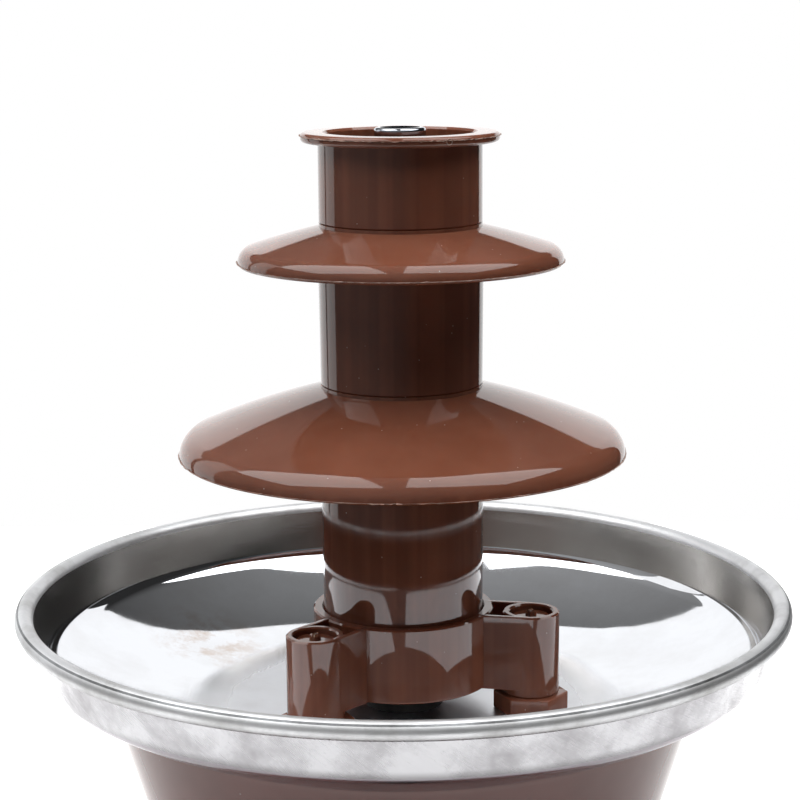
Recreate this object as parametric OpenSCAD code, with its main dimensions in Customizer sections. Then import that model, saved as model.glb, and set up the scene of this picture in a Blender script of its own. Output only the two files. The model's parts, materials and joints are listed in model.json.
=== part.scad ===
// Table-top chocolate fountain: a heated steel bowl on a waisted pedestal, a stacking tower of
// moulded tubes and dishes, and a geared auger that lifts the chocolate up inside the tower.
// The origin is on the table under the middle of the object, +Z is up and the knob faces -Y.

/* [Bowl] */
// Outer radius of the rolled rim
rim_r = 87.5; // [84:0.5:96]
// Thickness of the bead rolled on the rim
bead_d = 4.1; // [3.4:0.1:4.8]
// Thickness of the steel sheet
sheet_t = 0.8; // [0.5:0.1:1.2]
// Distance from the rim in to the crease at the foot of the wall
crease_in = 6; // [5:0.1:9]
// Radius of the rounding along the crease
crease_round = 4; // [2:0.1:5]
// Depth of the crease below the top of the rim
wall_depth = 11.2; // [9:0.1:14]
// Radius of the flat well in the middle of the floor
well_r = 39; // [38.5:0.1:42]
// Radius of the rounding round the well
well_round = 8; // [5:0.5:9]
// Distance from the well out to the shelf round it
shelf_out = 8; // [7:0.1:10]
// Height of the shelf's inner edge above the well
shelf_up = 6; // [4:0.1:8]
// Radius of the rounding along the shelf's inner edge
shelf_round = 10; // [6:0.5:12]
// Depth of the flat middle below the top of the rim
bowl_depth = 26.4; // [24:0.1:32]
// Height of the flat middle above the table
floor_z = 103.6; // [100:0.1:115]

/* [Tower] */
// Outer radius of a tower tube at its lower end
tube_r = 18.1; // [17:0.1:20]
// Wall of the tower tubes
tube_wall = 1.6; // [1.4:0.1:2.2]
// How much wider a tube is at its top than at its lower end
tube_draft = 0.3; // [0:0.05:0.5]
// Length of the spigot under a tube
spigot_h = 6; // [4:0.5:9]
// Wall of the spigot
spigot_wall = 0.75; // [0.6:0.05:0.9]
// Gap between a spigot or tube and its socket
socket_gap = 0.1; // [0.05:0.05:0.3]
// Chamfer at the edge of a seam
seam_chamfer = 0.35; // [0.2:0.05:0.6]
// Height of the straight neck on top of a dish
neck_h = 0.7; // [0.4:0.1:1.5]
// Thickness of a dish
dish_t = 1.4; // [1:0.1:2]
// Height from the foot's top to the seam above the lower dish
lower_h = 51.55; // [48:0.05:60]
// Radius of the lower dish
lower_rim_r = 50; // [45:0.1:56]
// Slope of the lower dish at its neck
lower_neck_slope = 14.5; // [12:0.5:19]
// Slope of the lower dish where its rim starts to round
lower_edge_slope = 23; // [22:0.5:30]
// Radius of the rounding at the lower dish's rim
lower_round = 5.4; // [4:0.1:7]
// Height from the lower seam to the seam above the upper dish
upper_h = 36; // [32:0.1:44]
// Radius of the upper dish
upper_rim_r = 36.1; // [32:0.1:42]
// Slope of the upper dish at its neck
upper_neck_slope = 14.5; // [12:0.5:17]
// Slope of the upper dish where its rim starts to round
upper_edge_slope = 19.5; // [17.5:0.5:24]
// Radius of the rounding at the upper dish's rim
upper_round = 3.7; // [3.5:0.1:6]
// Height of the crown tube with its flange
crown_h = 19.85; // [15:0.05:26]
// Radius of the crown's flange
flange_r = 21.9; // [20.5:0.1:24]
// Thickness of the crown's flange
flange_t = 2.2; // [1:0.05:2.5]

/* [Tower foot] */
// Wall of the collar round the lower tube
collar_wall = 2.4; // [2:0.1:4]
// Height of the collar
collar_h = 17.1; // [14:0.1:22]
// Depth of the seat that takes the lower tube
seat_depth = 8.2; // [6:0.1:10]
// Gap under the collar where the chocolate runs in
intake_gap = 6; // [5:0.1:9]
// Distance from the collar's side out to the middle of a socket boss
boss_reach = 8.9; // [8:0.1:10]
// Outer radius of a socket boss
boss_r = 6.4; // [6:0.1:7]
// Bore radius of a socket boss
boss_bore_r = 4.8; // [4.4:0.1:5.2]
// Direction of the first socket boss
boss_angle = -11.1; // [-15:0.1:-5]
// Thickness of the two walls that carry a boss
ear_t = 1.3; // [1:0.1:2]
// How far an ear's wall lies inside the flank of its boss
ear_step = 0.15; // [0.1:0.05:0.3]

/* [Posts] */
// Corner radius of a post's hexagon
hex_r = 8.5; // [8:0.1:9.5]
// Height of a post's hexagon
hex_h = 4.15; // [3:0.05:4.8]
// Turn of the hexagons
hex_turn = 5.7; // [0:0.1:30]
// Gap between a post and the bore of its boss
post_gap = 0.3; // [0.2:0.05:0.5]
// Depth of a post's end below the top of its boss
post_drop = 1.2; // [0.6:0.1:3]
// Radius of the moulding stub on a post's end
stub_r = 1.3; // [0.8:0.1:2]

/* [Auger] */
// Radius of the auger's core
core_r = 5.7; // [5.2:0.1:7]
// Rounding of the core's top edge
core_round = 1.8; // [1:0.1:2.5]
// Height of the core's top above the crown's flange
auger_proud = 0.9; // [0.5:0.1:3]
// Gap between the flight and the bore of the tower
flight_gap = 0.6; // [0.4:0.1:1.2]
// Thickness of the flight
flight_t = 1.6; // [1.2:0.1:2.2]
// Pitch of the flight
flight_pitch = 24; // [18:1:30]
// Distance from the top of the core down to the end of the flight
flight_below_top = 7; // [6:0.5:14]

/* [Drive] */
// Radius of the drive shaft
shaft_r = 3; // [2.6:0.1:3.4]
// Length of the shaft's hexagon end
drive_hex_h = 26; // [20:1:32]
// Running gap between a shaft and its bush or seal
run_gap = 0.05; // [0.02:0.01:0.08]
// Module of the gears
gear_module = 0.8; // [0.75:0.01:0.85]
// Teeth on each pinion
pinion_teeth = 12; // [12:1:13]
// Teeth on each wheel
wheel_teeth = 48; // [45:1:50]
// Face width of the wheels
wheel_w = 5.5; // [4.5:0.1:6]
// Play between meshing teeth
backlash = 0.2; // [0.15:0.01:0.3]
// Direction from the shaft to the idler
idler_angle = 150; // [145:1:155]
// Height of the output wheel's hub above its teeth
hub_rise = 3.7; // [3:0.1:5]
// Thickness of the gearbox plates
plate_t = 2; // [1.6:0.1:2.6]
// Radius of the idler's pin
idler_pin_r = 1.5; // [1.2:0.1:1.8]

/* [Motor] */
// Radius of the motor's can
motor_r = 13.8; // [12:0.1:15]
// Length of the motor's can
can_h = 31; // [28:0.5:34]
// Length of the motor's end cap
cap_h = 6; // [4:0.5:8]
// Radius of the motor's shaft
motor_shaft_r = 1.15; // [1:0.05:1.5]
// Spacing of the motor's screws from its shaft
motor_screw_in = 8; // [7.6:0.1:9]

/* [Heater] */
// Thickness of the heater plate
heater_t = 3; // [2.6:0.1:4]
// Outer radius of the heater plate
heater_r = 36.5; // [36:0.1:38.5]
// Radius of the heating element's ring
element_ring_r = 18; // [17:0.1:18.5]
// Radius of the heating element's sheath
element_r = 3; // [2.5:0.1:3.2]
// Thickness of the insulating washers
washer_t = 1.2; // [0.8:0.1:2]

/* [Pedestal] */
// Outer radius of the pedestal's rim under the bowl
pedestal_r = 66.5; // [64:0.5:69]
// Radius of the hollow round the pedestal's waist
waist_round = 29.45; // [26:0.05:34]
// Wall of the pedestal
housing_wall = 2.4; // [2:0.1:3]
// Thickness of the gasket under the bowl
gasket_t = 1.2; // [0.8:0.1:2]
// Gap between the gearbox and the waist's wall
waist_gap = 2.1; // [1.5:0.1:4]
// Turn of the flare from the waist to the skirt
flare_angle = 60; // [52:1:66]
// Rounding at the top of the skirt
skirt_round = 10; // [7:0.5:12]
// Height of the upright skirt
skirt_h = 8.9; // [7:0.1:12]
// Height of the bulkhead's bosses that carry the bowl
post_boss_h = 12.2; // [10.5:0.1:15]
// Thickness of the bulkhead and the bottom cover
web_t = 2.4; // [2:0.1:3]
// Height of the rubber feet below the cover
foot_h = 6; // [4:0.1:9]
// Radius of the rubber feet
foot_r = 8; // [6:0.1:9]

/* [Control and cord entry] */
// Radius of the flat round pad behind the knob
pad_r = 15; // [14.2:0.1:16]
// How far the pads stand out from the waist
pad_out = 5; // [4:0.1:7]
// Radius of the knob's skirt
knob_r = 13; // [11:0.1:13.8]
// Height of the knob
knob_h = 14; // [13:0.1:18]
// Radius of the rotary switch
switch_r = 11; // [9:0.1:11.4]
// Depth of the rotary switch
switch_depth = 15; // [12:0.5:17]
// Bore radius of the cord gland
gland_bore_r = 3.4; // [2.5:0.1:3.8]

/* [Hidden] */
$fn = 72;

chocolate = "#5a3226";
steel = "#c8c9cb";
zinc = "#9a9da0";
black = "#232323";
bronze = "#a9793f";
nylon = "#e4e0d4";
board_green = "#2f6b3f";

// Overlap that makes a cut or a joint clean
cut = 1;
// Steps along a rounding and round the rim's bead
arc_steps = 8;
bead_steps = 21;

// Heights of the bowl and the tower
rim_z = floor_z + bowl_depth;
crease_z = rim_z - wall_depth;
crease_r = rim_r - crease_in;
shelf_r = well_r + shelf_out;
shelf_z = floor_z + shelf_up;
shelf_slope = atan2(crease_z - shelf_z, crease_r - shelf_r);
bead_centre = [rim_r - bead_d / 2, rim_z - bead_d / 2];
wall_top = bead_centre - [bead_d / 2, 0];
bowl_line = [[0, floor_z], [well_r, floor_z], [shelf_r, shelf_z], [crease_r, crease_z], wall_top];
bowl_rounds = [well_round, shelf_round, crease_round];
collar_z = floor_z + intake_gap;
foot_top_z = collar_z + collar_h;
seat_z = foot_top_z - seat_depth;
lower_seam_z = foot_top_z + lower_h;
upper_seam_z = lower_seam_z + upper_h;
crown_z = upper_seam_z + crown_h;
bore_r = tube_r - tube_wall;
spigot_r = bore_r + spigot_wall;
socket_r = spigot_r + socket_gap;
boss_z = floor_z + hex_h;
post_r = boss_bore_r - post_gap;
collar_r = tube_r + collar_wall;
boss_circle = collar_r + boss_reach;
boss_angles = [boss_angle, boss_angle + 120, boss_angle + 240];

// Auger and its seat on the shaft
seal_flange_t = 1.6;
seal_flange_r = 9;
seal_neck_r = 8;
auger_lift_gap = 1;
core_z = floor_z + seal_flange_t + auger_lift_gap;
core_top_z = crown_z + auger_proud;
drive_hex_z = floor_z + intake_gap;
drive_hex_top_z = drive_hex_z + drive_hex_h;
hex_gap = 0.1;
flight_r = bore_r - flight_gap;
flight_z = collar_z + hex_gap;
flight_top_z = core_top_z - flight_below_top;
flight_steps_per_turn = 24;

// Stack under the bowl, from the bowl down to the motor
heater_top_z = floor_z - sheet_t;
heater_z = heater_top_z - heater_t;
post_boss_top_z = heater_z - washer_t;
bulkhead_top_z = post_boss_top_z - post_boss_h;
bulkhead_z = bulkhead_top_z - web_t;
gearbox_roof_z = bulkhead_z - plate_t;
wheel_lift = 2;
wheel_headroom = 1;
side_gap = 0.3;
gearbox_gap = wheel_lift + 2 * wheel_w + hub_rise + side_gap + wheel_headroom;
gearbox_floor_z = gearbox_roof_z - gearbox_gap;
motor_face_z = gearbox_floor_z - plate_t;

// Gears
pressure_angle = 20;
addendum = 0.8 * gear_module;
dedendum = 1.1 * gear_module;
pinion_r = gear_module * pinion_teeth / 2;
wheel_r = gear_module * wheel_teeth / 2;
centre_dist = pinion_r + wheel_r;
output_wheel_z = gearbox_floor_z + wheel_lift;
hub_top_z = output_wheel_z + wheel_w + hub_rise;
idler_wheel_z = hub_top_z + side_gap;
pinion_w = wheel_w + 1;
idler_pos = centre_dist * [cos(idler_angle), sin(idler_angle)];
motor_pos = centre_dist * [cos(idler_angle - 60), sin(idler_angle - 60)];
idler_to_motor = idler_angle - 120;
plate_r = centre_dist + wheel_r + addendum + 2;
pillar_circle = plate_r - 5;
pillar_angles = [-30, 60, 210];
pillar_r = 3.2;

// Fasteners
screw_r = 1.5;
screw_clear = 0.1;
head_r = 3;
head_h = 2.2;
post_screw_r = 1.95;
post_head_r = 3.4;
post_head_seat = 6;
post_screw_bite = 11;
cover_screw_bite = 10;

// Pedestal outline: straight taper, hollow waist, round shoulder, upright skirt
cover_top_z = foot_h + web_t;
pedestal_top_z = under_z(pedestal_r) - gasket_t;
waist_r = plate_r + waist_gap + housing_wall;
waist_z = foot_h + skirt_h + (waist_round + skirt_round) * sin(flare_angle);
rim_from_waist = [pedestal_r - waist_r - waist_round, pedestal_top_z - waist_z];
taper = 180 - atan2(rim_from_waist.y, rim_from_waist.x) - acos(waist_round / norm(rim_from_waist));
shoulder = [waist_r + waist_round * (1 - cos(flare_angle)) - skirt_round * cos(flare_angle),
    foot_h + skirt_h];
skirt_r = shoulder.x + skirt_round;
cover_gap = 0.3;
cover_r = skirt_r - housing_wall - cover_gap;
cover_boss_r = 4.5;
cover_boss_circle = waist_r + cover_boss_r + 3;
foot_circle = cover_r - foot_r - 4;
foot_stem_r = 3;
foot_angles = [-45, 45, 135, 225];
vent_count = 12;
vent_w = 3;
vent_in_r = 16;
vent_out_r = 38;

// Front pad with the switch and rear pad with the gland
pad_y = waist_r + pad_out;
panel_t = housing_wall;
switch_bush_r = 4.5;
switch_bush_out = 5;
switch_nut_r = 7;
switch_nut_t = 2.4;
spindle_r = 3;
spindle_flat = 2;
knob_gap = 0.5;
gland_pad_r = 10;
gland_neck_r = gland_bore_r + 1.7;
gland_flange_r = gland_neck_r + 1.6;
gland_flange_t = 2;

// Points of an arc round c from angle a0 to angle a1
function arc(c, r, a0, a1, n = arc_steps) =
    [for (i = [0 : n]) let (a = a0 + (a1 - a0) * i / n) c + r * [cos(a), sin(a)]];

// Rounding of a corner on the way from a over b to c, moved to the right of the way by d
function corner(a, b, c, r, d) =
    let (come = atan2(b.y - a.y, b.x - a.x), go = atan2(c.y - b.y, c.x - b.x),
        side = sign(go - come), mid = (come + go) / 2,
        centre = b + side * r / cos((go - come) / 2) * [-sin(mid), cos(mid)])
    arc(centre, r + side * d, come - side * 90, go - side * 90);

// Upper face of the bowl from its well to its wall, moved down and out by d
function bowl_face(d) = [for (i = [1 : 3])
    each corner(bowl_line[i - 1], bowl_line[i], bowl_line[i + 1], bowl_rounds[i - 1], d)];

function reversed(list) = [for (i = [len(list) - 1 : -1 : 0]) list[i]];

// Height of the bowl's underside at a radius on the shelf
function under_z(r) = shelf_z + (r - shelf_r) * tan(shelf_slope) - sheet_t / cos(shelf_slope);

module at_bosses() {
    for (a = boss_angles) rotate(a) translate([boss_circle, 0, 0]) children();
}

module at_pillars() {
    for (a = pillar_angles) rotate(a) translate([pillar_circle, 0, 0]) children();
}

module at_cover_screws() {
    for (a = [0 : 90 : 270]) rotate(a) translate([cover_boss_circle, 0, 0]) children();
}

// Turns a piece that is drawn along +Z to face the front or the rear at the waist's height
module facing_front() {
    translate([0, 0, waist_z]) rotate([90, 0, 0]) children();
}

module facing_rear() {
    translate([0, 0, waist_z]) rotate([-90, 0, 0]) children();
}

module ring(r_out, r_in, h) {
    difference() {
        cylinder(r = r_out, h = h);
        translate([0, 0, -cut]) cylinder(r = r_in, h = h + 2 * cut);
    }
}

module pan_screw(r, length, head_radius, head_height) {
    cylinder(r = r, h = length);
    translate([0, 0, -head_height]) cylinder(r = head_radius, h = head_height);
}

// Curve of a dish from its neck to its rim, moved in by d from the outer face:
// one long arc from the neck's slope to the edge's slope, then the rim's rounding
function dish_span(rim, slope_a, slope_b, rounding) =
    (rim - rounding * (1 - sin(slope_b)) - tube_r) / (sin(slope_b) - sin(slope_a));

function dish_long(z, rim, slope_a, slope_b, rounding, d, from) =
    let (span = dish_span(rim, slope_a, slope_b, rounding))
    arc([tube_r - span * sin(slope_a), z - span * cos(slope_a)], span - d, 90 - from, 90 - slope_b);

function dish_edge(z, rim, slope_a, slope_b, rounding, d) =
    let (span = dish_span(rim, slope_a, slope_b, rounding))
    let (z_b = z - span * (cos(slope_a) - cos(slope_b)))
    arc([rim - rounding, z_b - rounding * cos(slope_b)], rounding - d, 90 - slope_b, 0);

// Slope at which the dish's underside meets the tube below it
function dish_start(rim, slope_a, slope_b, rounding, r) =
    let (span = dish_span(rim, slope_a, slope_b, rounding))
    asin((r - tube_r + span * sin(slope_a)) / (span - dish_t));

// A dish with its neck on top and its tube below, as one moulding
module tier(seam_z, tube_foot, foot_z, rim, slope_a, slope_b, rounding) {
    top_r = tube_r + tube_draft;
    dish_z = seam_z - neck_h;
    from = dish_start(rim, slope_a, slope_b, rounding, top_r);
    upper = concat(dish_long(dish_z, rim, slope_a, slope_b, rounding, 0, slope_a),
        dish_edge(dish_z, rim, slope_a, slope_b, rounding, 0));
    under = concat(dish_long(dish_z, rim, slope_a, slope_b, rounding, dish_t, from),
        dish_edge(dish_z, rim, slope_a, slope_b, rounding, dish_t));
    rotate_extrude() polygon(concat(
        tube_foot, under, reversed(upper),
        [[tube_r, seam_z], [socket_r, seam_z], [socket_r, seam_z - spigot_h],
            [bore_r, seam_z - spigot_h], [bore_r, foot_z]]));
}

// Lower end of a tube with a spigot that drops into the neck below
function spigot_end(seam_z) = [
    [bore_r, seam_z - spigot_h], [spigot_r, seam_z - spigot_h], [spigot_r, seam_z],
    [tube_r - seam_chamfer, seam_z], [tube_r, seam_z + seam_chamfer]];

module crown_tube() color(chocolate) {
    mouth = seam_chamfer * 1.5;
    edge = flange_t / 2;
    rotate_extrude() polygon(concat(
        spigot_end(upper_seam_z),
        [[tube_r, crown_z - flange_t]],
        arc([flange_r - edge, crown_z - edge], edge, -90, 90),
        [[bore_r + mouth, crown_z], [bore_r, crown_z - mouth]]));
}

module upper_tier() color(chocolate)
    tier(upper_seam_z, spigot_end(lower_seam_z), lower_seam_z - spigot_h,
        upper_rim_r, upper_neck_slope, upper_edge_slope, upper_round);

module lower_tier() color(chocolate)
    tier(lower_seam_z, [[bore_r, seat_z], [tube_r, seat_z], [tube_r, foot_top_z]], seat_z,
        lower_rim_r, lower_neck_slope, lower_edge_slope, lower_round);

// Collar with three ears: each ear is a socket boss on two walls with an open pocket between them
module tower_foot() color(chocolate) {
    wall_y = boss_r - ear_step - ear_t;
    edge = seam_chamfer * 2;
    difference() {
        union() {
            rotate_extrude() polygon(concat(
                [[0, collar_z], [collar_r - edge, collar_z]],
                arc([collar_r - edge, collar_z + edge], edge, -90, 0),
                [[collar_r, foot_top_z - seam_chamfer], [collar_r - seam_chamfer, foot_top_z],
                    [0, foot_top_z]]));
            at_bosses() translate([0, 0, boss_z]) cylinder(r = boss_r, h = foot_top_z - boss_z);
            for (a = boss_angles, side = [0, 1])
                rotate(a) mirror([0, side, 0])
                    translate([bore_r + tube_wall, wall_y, collar_z])
                        cube([boss_circle - bore_r - tube_wall, ear_t, collar_h]);
        }
        at_bosses() translate([0, 0, boss_z - cut]) cylinder(r = boss_bore_r, h = collar_h + bowl_depth);
        translate([0, 0, collar_z - cut]) cylinder(r = bore_r, h = collar_h + 2 * cut);
        translate([0, 0, seat_z]) cylinder(r = tube_r + socket_gap, h = seat_depth + cut);
        translate([0, 0, foot_top_z - seam_chamfer])
            cylinder(r1 = tube_r + socket_gap, r2 = tube_r + socket_gap + 2 * seam_chamfer,
                h = 2 * seam_chamfer);
    }
}

// Hexagon-based post that a socket boss drops over, with the stub left by moulding on its end
module tower_post(a) color(chocolate) rotate(a) translate([boss_circle, 0, 0]) difference() {
    post_top_z = foot_top_z - post_drop;
    union() {
        translate([0, 0, floor_z]) rotate(hex_turn) cylinder(r = hex_r, h = hex_h, $fn = 6);
        translate([0, 0, boss_z - cut]) cylinder(r = post_r, h = post_top_z - boss_z + cut - seam_chamfer);
        translate([0, 0, post_top_z - seam_chamfer])
            cylinder(r1 = post_r, r2 = post_r - seam_chamfer, h = seam_chamfer);
        translate([0, 0, post_top_z - cut]) cylinder(r = stub_r, h = cut + stub_r);
    }
    translate([0, 0, floor_z - cut]) cylinder(r = post_screw_r + screw_clear / 2, h = post_screw_bite + 2 * cut);
}

module tower_post_right() tower_post(boss_angles[0]);

module tower_post_rear() tower_post(boss_angles[1]);

module tower_post_left() tower_post(boss_angles[2]);

// Polished core with a rounded top and a hexagon socket that stands on the shaft's end
module auger_core() color(steel) difference() {
    rotate_extrude() polygon(concat(
        [[0, core_z], [core_r, core_z]],
        arc([core_r - core_round, core_top_z - core_round], core_round, 0, 90),
        [[0, core_top_z]]));
    translate([0, 0, core_z - cut])
        cylinder(r = shaft_r + hex_gap, h = drive_hex_z - core_z + cut + side_gap);
    translate([0, 0, core_z]) cylinder(r = shaft_r + hex_gap, h = drive_hex_top_z - core_z, $fn = 6);
}

// Helical strip round the core, as one swept section
module auger_flight() color(steel) {
    step = 360 / flight_steps_per_turn;
    inner = (core_r + run_gap / 2) / cos(step / 2);
    rise = flight_top_z - flight_t - flight_z;
    n = floor(rise / flight_pitch * flight_steps_per_turn);
    section = [[inner, 0], [flight_r, 0], [flight_r, flight_t], [inner, flight_t]];
    points = [for (i = [0 : n], p = section)
        [p.x * cos(i * step), p.x * sin(i * step), flight_z + rise * i / n + p.y]];
    sides = [for (i = [0 : n - 1], k = [0 : 3], half = [0, 1])
        let (a = 4 * i + k, b = 4 * i + (k + 1) % 4)
        half == 0 ? [a, a + 4, b] : [b, a + 4, b + 4]];
    last = 4 * n;
    ends = [[0, 1, 2], [0, 2, 3], [last, last + 2, last + 1], [last, last + 3, last + 2]];
    polyhedron(points = points, faces = concat(sides, ends));
}

// Pressed sheet: flat well, a shelf sloping up to a crease, and a wall with a bead on its rim
module bowl() color(steel) difference() {
    rotate_extrude() polygon(concat(
        [[0, floor_z]],
        bowl_face(0),
        arc(bead_centre, bead_d / 2, 180, -135, bead_steps),
        reversed(bowl_face(sheet_t)),
        [[0, floor_z - sheet_t]]));
    translate([0, 0, heater_z]) cylinder(r = seal_neck_r + screw_clear, h = heater_t + 2 * cut);
    at_bosses() translate([0, 0, heater_z]) cylinder(r = post_screw_r + screw_clear, h = heater_t + 2 * cut);
}

// Rubber lip seal that grips the edge of the bowl's centre hole
module shaft_seal() color(black) difference() {
    union() {
        translate([0, 0, floor_z])
            cylinder(r1 = seal_flange_r, r2 = seal_flange_r - seal_flange_t / 2, h = seal_flange_t);
        translate([0, 0, heater_top_z - seal_flange_t]) cylinder(r = seal_flange_r, h = seal_flange_t);
        translate([0, 0, heater_top_z - cut]) cylinder(r = seal_neck_r, h = sheet_t + 2 * cut);
    }
    translate([0, 0, heater_z - cut]) cylinder(r = shaft_r + run_gap, h = heater_t + sheet_t + seal_flange_t + 2 * cut);
}

// Ring between the bowl's sloping underside and the pedestal's rim
module bowl_gasket() color(black) {
    inner = pedestal_r - housing_wall;
    rotate_extrude() polygon([
        [inner, pedestal_top_z], [pedestal_r, pedestal_top_z],
        [pedestal_r, under_z(pedestal_r) - run_gap / 2], [inner, under_z(inner) - run_gap / 2]]);
}

module post_screws() color(zinc) at_bosses() {
    seat = bulkhead_z + post_head_seat;
    translate([0, 0, seat]) pan_screw(post_screw_r, floor_z + post_screw_bite - seat, post_head_r, head_h);
}

module post_washers() color(nylon) at_bosses() translate([0, 0, post_boss_top_z])
    ring(post_head_r + 1.6, post_screw_r + screw_clear, washer_t);

// Aluminium plate clamped under the bowl, with a groove for the element
module heater_plate() color(zinc) difference() {
    translate([0, 0, heater_z]) ring(heater_r, seal_flange_r + 2, heater_t);
    at_bosses() translate([0, 0, heater_z - cut]) cylinder(r = post_screw_r + screw_clear, h = heater_t + 2 * cut);
    translate([0, 0, heater_z - element_r / 3])
        rotate_extrude() translate([element_ring_r, 0]) circle(r = element_r + run_gap);
}

// Horseshoe of sheathed element with a terminal pin at each end
module heater_element() color(steel) {
    open_angle = 70;
    pin_r = element_r * 0.4;
    translate([0, 0, heater_z - element_r / 3]) rotate(boss_angle + 60) {
        rotate(open_angle / 2) rotate_extrude(angle = 360 - open_angle)
            translate([element_ring_r, 0]) circle(r = element_r);
        for (side = [0, 1]) mirror([0, side, 0])
            rotate(open_angle / 2) translate([element_ring_r, cut, 0])
                rotate([90, 0, 0]) cylinder(r = pin_r, h = element_ring_r / 3 + cut);
    }
}

// Disc thermostat held against the heater plate, with its two tabs
module thermostat() color(black) rotate(boss_angle + 180) translate([boss_circle, 0, 0]) {
    disc_h = 6;
    translate([0, 0, heater_z - disc_h]) cylinder(r = boss_r - 0.4, h = disc_h);
    for (y = [-3, 3]) translate([-0.4, y - 1.2, heater_z - disc_h - 4]) cube([0.8, 2.4, 4 + cut]);
}

fuse_r = 2;
fuse_length = 11;

// Cartridge thermal fuse under the heater plate, along the plate's edge
module thermal_fuse() color(steel) rotate(boss_angle - 60) translate([boss_circle, 0, heater_z - fuse_r - run_gap])
    rotate([90, 0, 0]) cylinder(r = fuse_r, h = fuse_length, center = true);

// Saddle that holds the fuse to the plate, open towards the plate
module fuse_clip() color(zinc) rotate(boss_angle - 60) translate([boss_circle, 0, heater_z]) {
    slot_r = fuse_r + run_gap;
    wide = fuse_length / 2;
    tall = 2 * fuse_r + 1;
    rotate([90, 0, 0]) translate([0, 0, -wide / 2]) linear_extrude(wide) polygon(concat(
        [[-slot_r, 0], [-2 * fuse_r, 0], [-2 * fuse_r, -tall], [2 * fuse_r, -tall], [2 * fuse_r, 0], [slot_r, 0]],
        arc([0, -slot_r], slot_r, 0, -180)));
}

// Outline of the pedestal from its rim to the foot of its skirt, moved in by d
function pedestal_side(d) = concat(
    [[pedestal_r - d / cos(taper), pedestal_top_z]],
    [for (p = arc([0, 0], waist_round + d, taper, -flare_angle, 2 * arc_steps))
        [waist_r + waist_round - p.x, waist_z + p.y]],
    arc(shoulder, skirt_round - d, flare_angle, 0),
    [[skirt_r - d, foot_h]]);

module pedestal_solid() {
    rotate_extrude() polygon(concat([[0, foot_h], [0, pedestal_top_z]], pedestal_side(0)));
}

module pedestal_hollow() {
    inside = pedestal_side(housing_wall);
    rotate_extrude() polygon(concat(
        [[0, foot_h - cut], [0, pedestal_top_z + cut], [inside[0].x, pedestal_top_z + cut]],
        inside, [[skirt_r - housing_wall, foot_h - cut]]));
}

// Round flat on the waist, hollow behind, for a switch or a gland
module pad(radius) {
    translate([0, 0, waist_r - housing_wall]) cylinder(r = radius, h = pad_out + housing_wall);
}

module pad_hollow(radius, hole) {
    deep = housing_wall + 3 * cut;
    translate([0, 0, waist_r - deep]) cylinder(r = radius - housing_wall, h = pad_out - panel_t + deep);
    translate([0, 0, waist_r]) cylinder(r = hole, h = pad_out + cut);
}

// Waisted pedestal with a bulkhead that carries the bowl above and the gearbox below
module base_housing() color(chocolate) {
    bulkhead_r = pedestal_r - (pedestal_top_z - bulkhead_z) * tan(taper) - housing_wall / 2;
    pillar_boss_h = 6;
    difference() {
        union() {
            difference() {
                pedestal_solid();
                pedestal_hollow();
            }
            translate([0, 0, bulkhead_z]) cylinder(r = bulkhead_r, h = web_t);
            at_bosses() translate([0, 0, bulkhead_z])
                cylinder(r = post_head_r + 2.1, h = post_boss_top_z - bulkhead_z);
            at_pillars() translate([0, 0, bulkhead_z]) cylinder(r = head_r + 1, h = web_t + pillar_boss_h);
            intersection() {
                at_cover_screws() translate([0, 0, cover_top_z])
                    cylinder(r = cover_boss_r, h = waist_z - cover_top_z);
                pedestal_solid();
            }
            facing_front() pad(pad_r);
            facing_rear() pad(gland_pad_r);
        }
        facing_front() pad_hollow(pad_r, switch_bush_r + screw_clear);
        facing_rear() pad_hollow(gland_pad_r, gland_neck_r + run_gap);
        translate([0, 0, bulkhead_z - cut]) cylinder(r = 2 * shaft_r + 1, h = web_t + 2 * cut);
        at_bosses() {
            translate([0, 0, bulkhead_z - cut]) cylinder(r = post_head_r + 0.3, h = post_head_seat + cut);
            translate([0, 0, bulkhead_z]) cylinder(r = post_screw_r + screw_clear, h = floor_z - bulkhead_z);
        }
        at_pillars() translate([0, 0, bulkhead_z - cut])
            cylinder(r = screw_r + run_gap, h = web_t + pillar_boss_h - cut);
        at_cover_screws() translate([0, 0, cover_top_z - cut]) cylinder(r = screw_r + run_gap, h = cover_screw_bite + 3 * cut);
    }
}

// Flat cover with radial vents, screw holes and holes for the feet
module bottom_cover() color(black) translate([0, 0, foot_h]) difference() {
    cylinder(r = cover_r, h = web_t);
    for (i = [0 : vent_count - 1]) rotate(360 / vent_count * (i + 0.5))
        translate([vent_in_r, -vent_w / 2, -cut]) cube([vent_out_r - vent_in_r, vent_w, web_t + 2 * cut]);
    at_cover_screws() translate([0, 0, -cut]) cylinder(r = screw_r + screw_clear, h = web_t + 2 * cut);
    for (a = foot_angles) rotate(a) translate([foot_circle, 0, -cut])
        cylinder(r = foot_stem_r + run_gap, h = web_t + 2 * cut);
}

module cover_screws() color(zinc) at_cover_screws() translate([0, 0, foot_h])
    pan_screw(screw_r, web_t + cover_screw_bite, head_r, head_h);

// Rubber foot with a stem that snaps through the cover
module rubber_foot(a) color(black) rotate(a) translate([foot_circle, 0, 0]) {
    cylinder(r1 = foot_r - 0.8, r2 = foot_r, h = foot_h);
    translate([0, 0, foot_h - cut]) cylinder(r = foot_stem_r, h = web_t + 2 * cut);
    translate([0, 0, cover_top_z]) cylinder(r1 = foot_stem_r + 1, r2 = foot_stem_r - 0.5, h = 2.5);
}

module foot_front_right() rubber_foot(foot_angles[0]);

module foot_rear_right() rubber_foot(foot_angles[1]);

module foot_rear_left() rubber_foot(foot_angles[2]);

module foot_front_left() rubber_foot(foot_angles[3]);

bush_r = shaft_r + 1.5;
bush_flange_t = 1;

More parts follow.
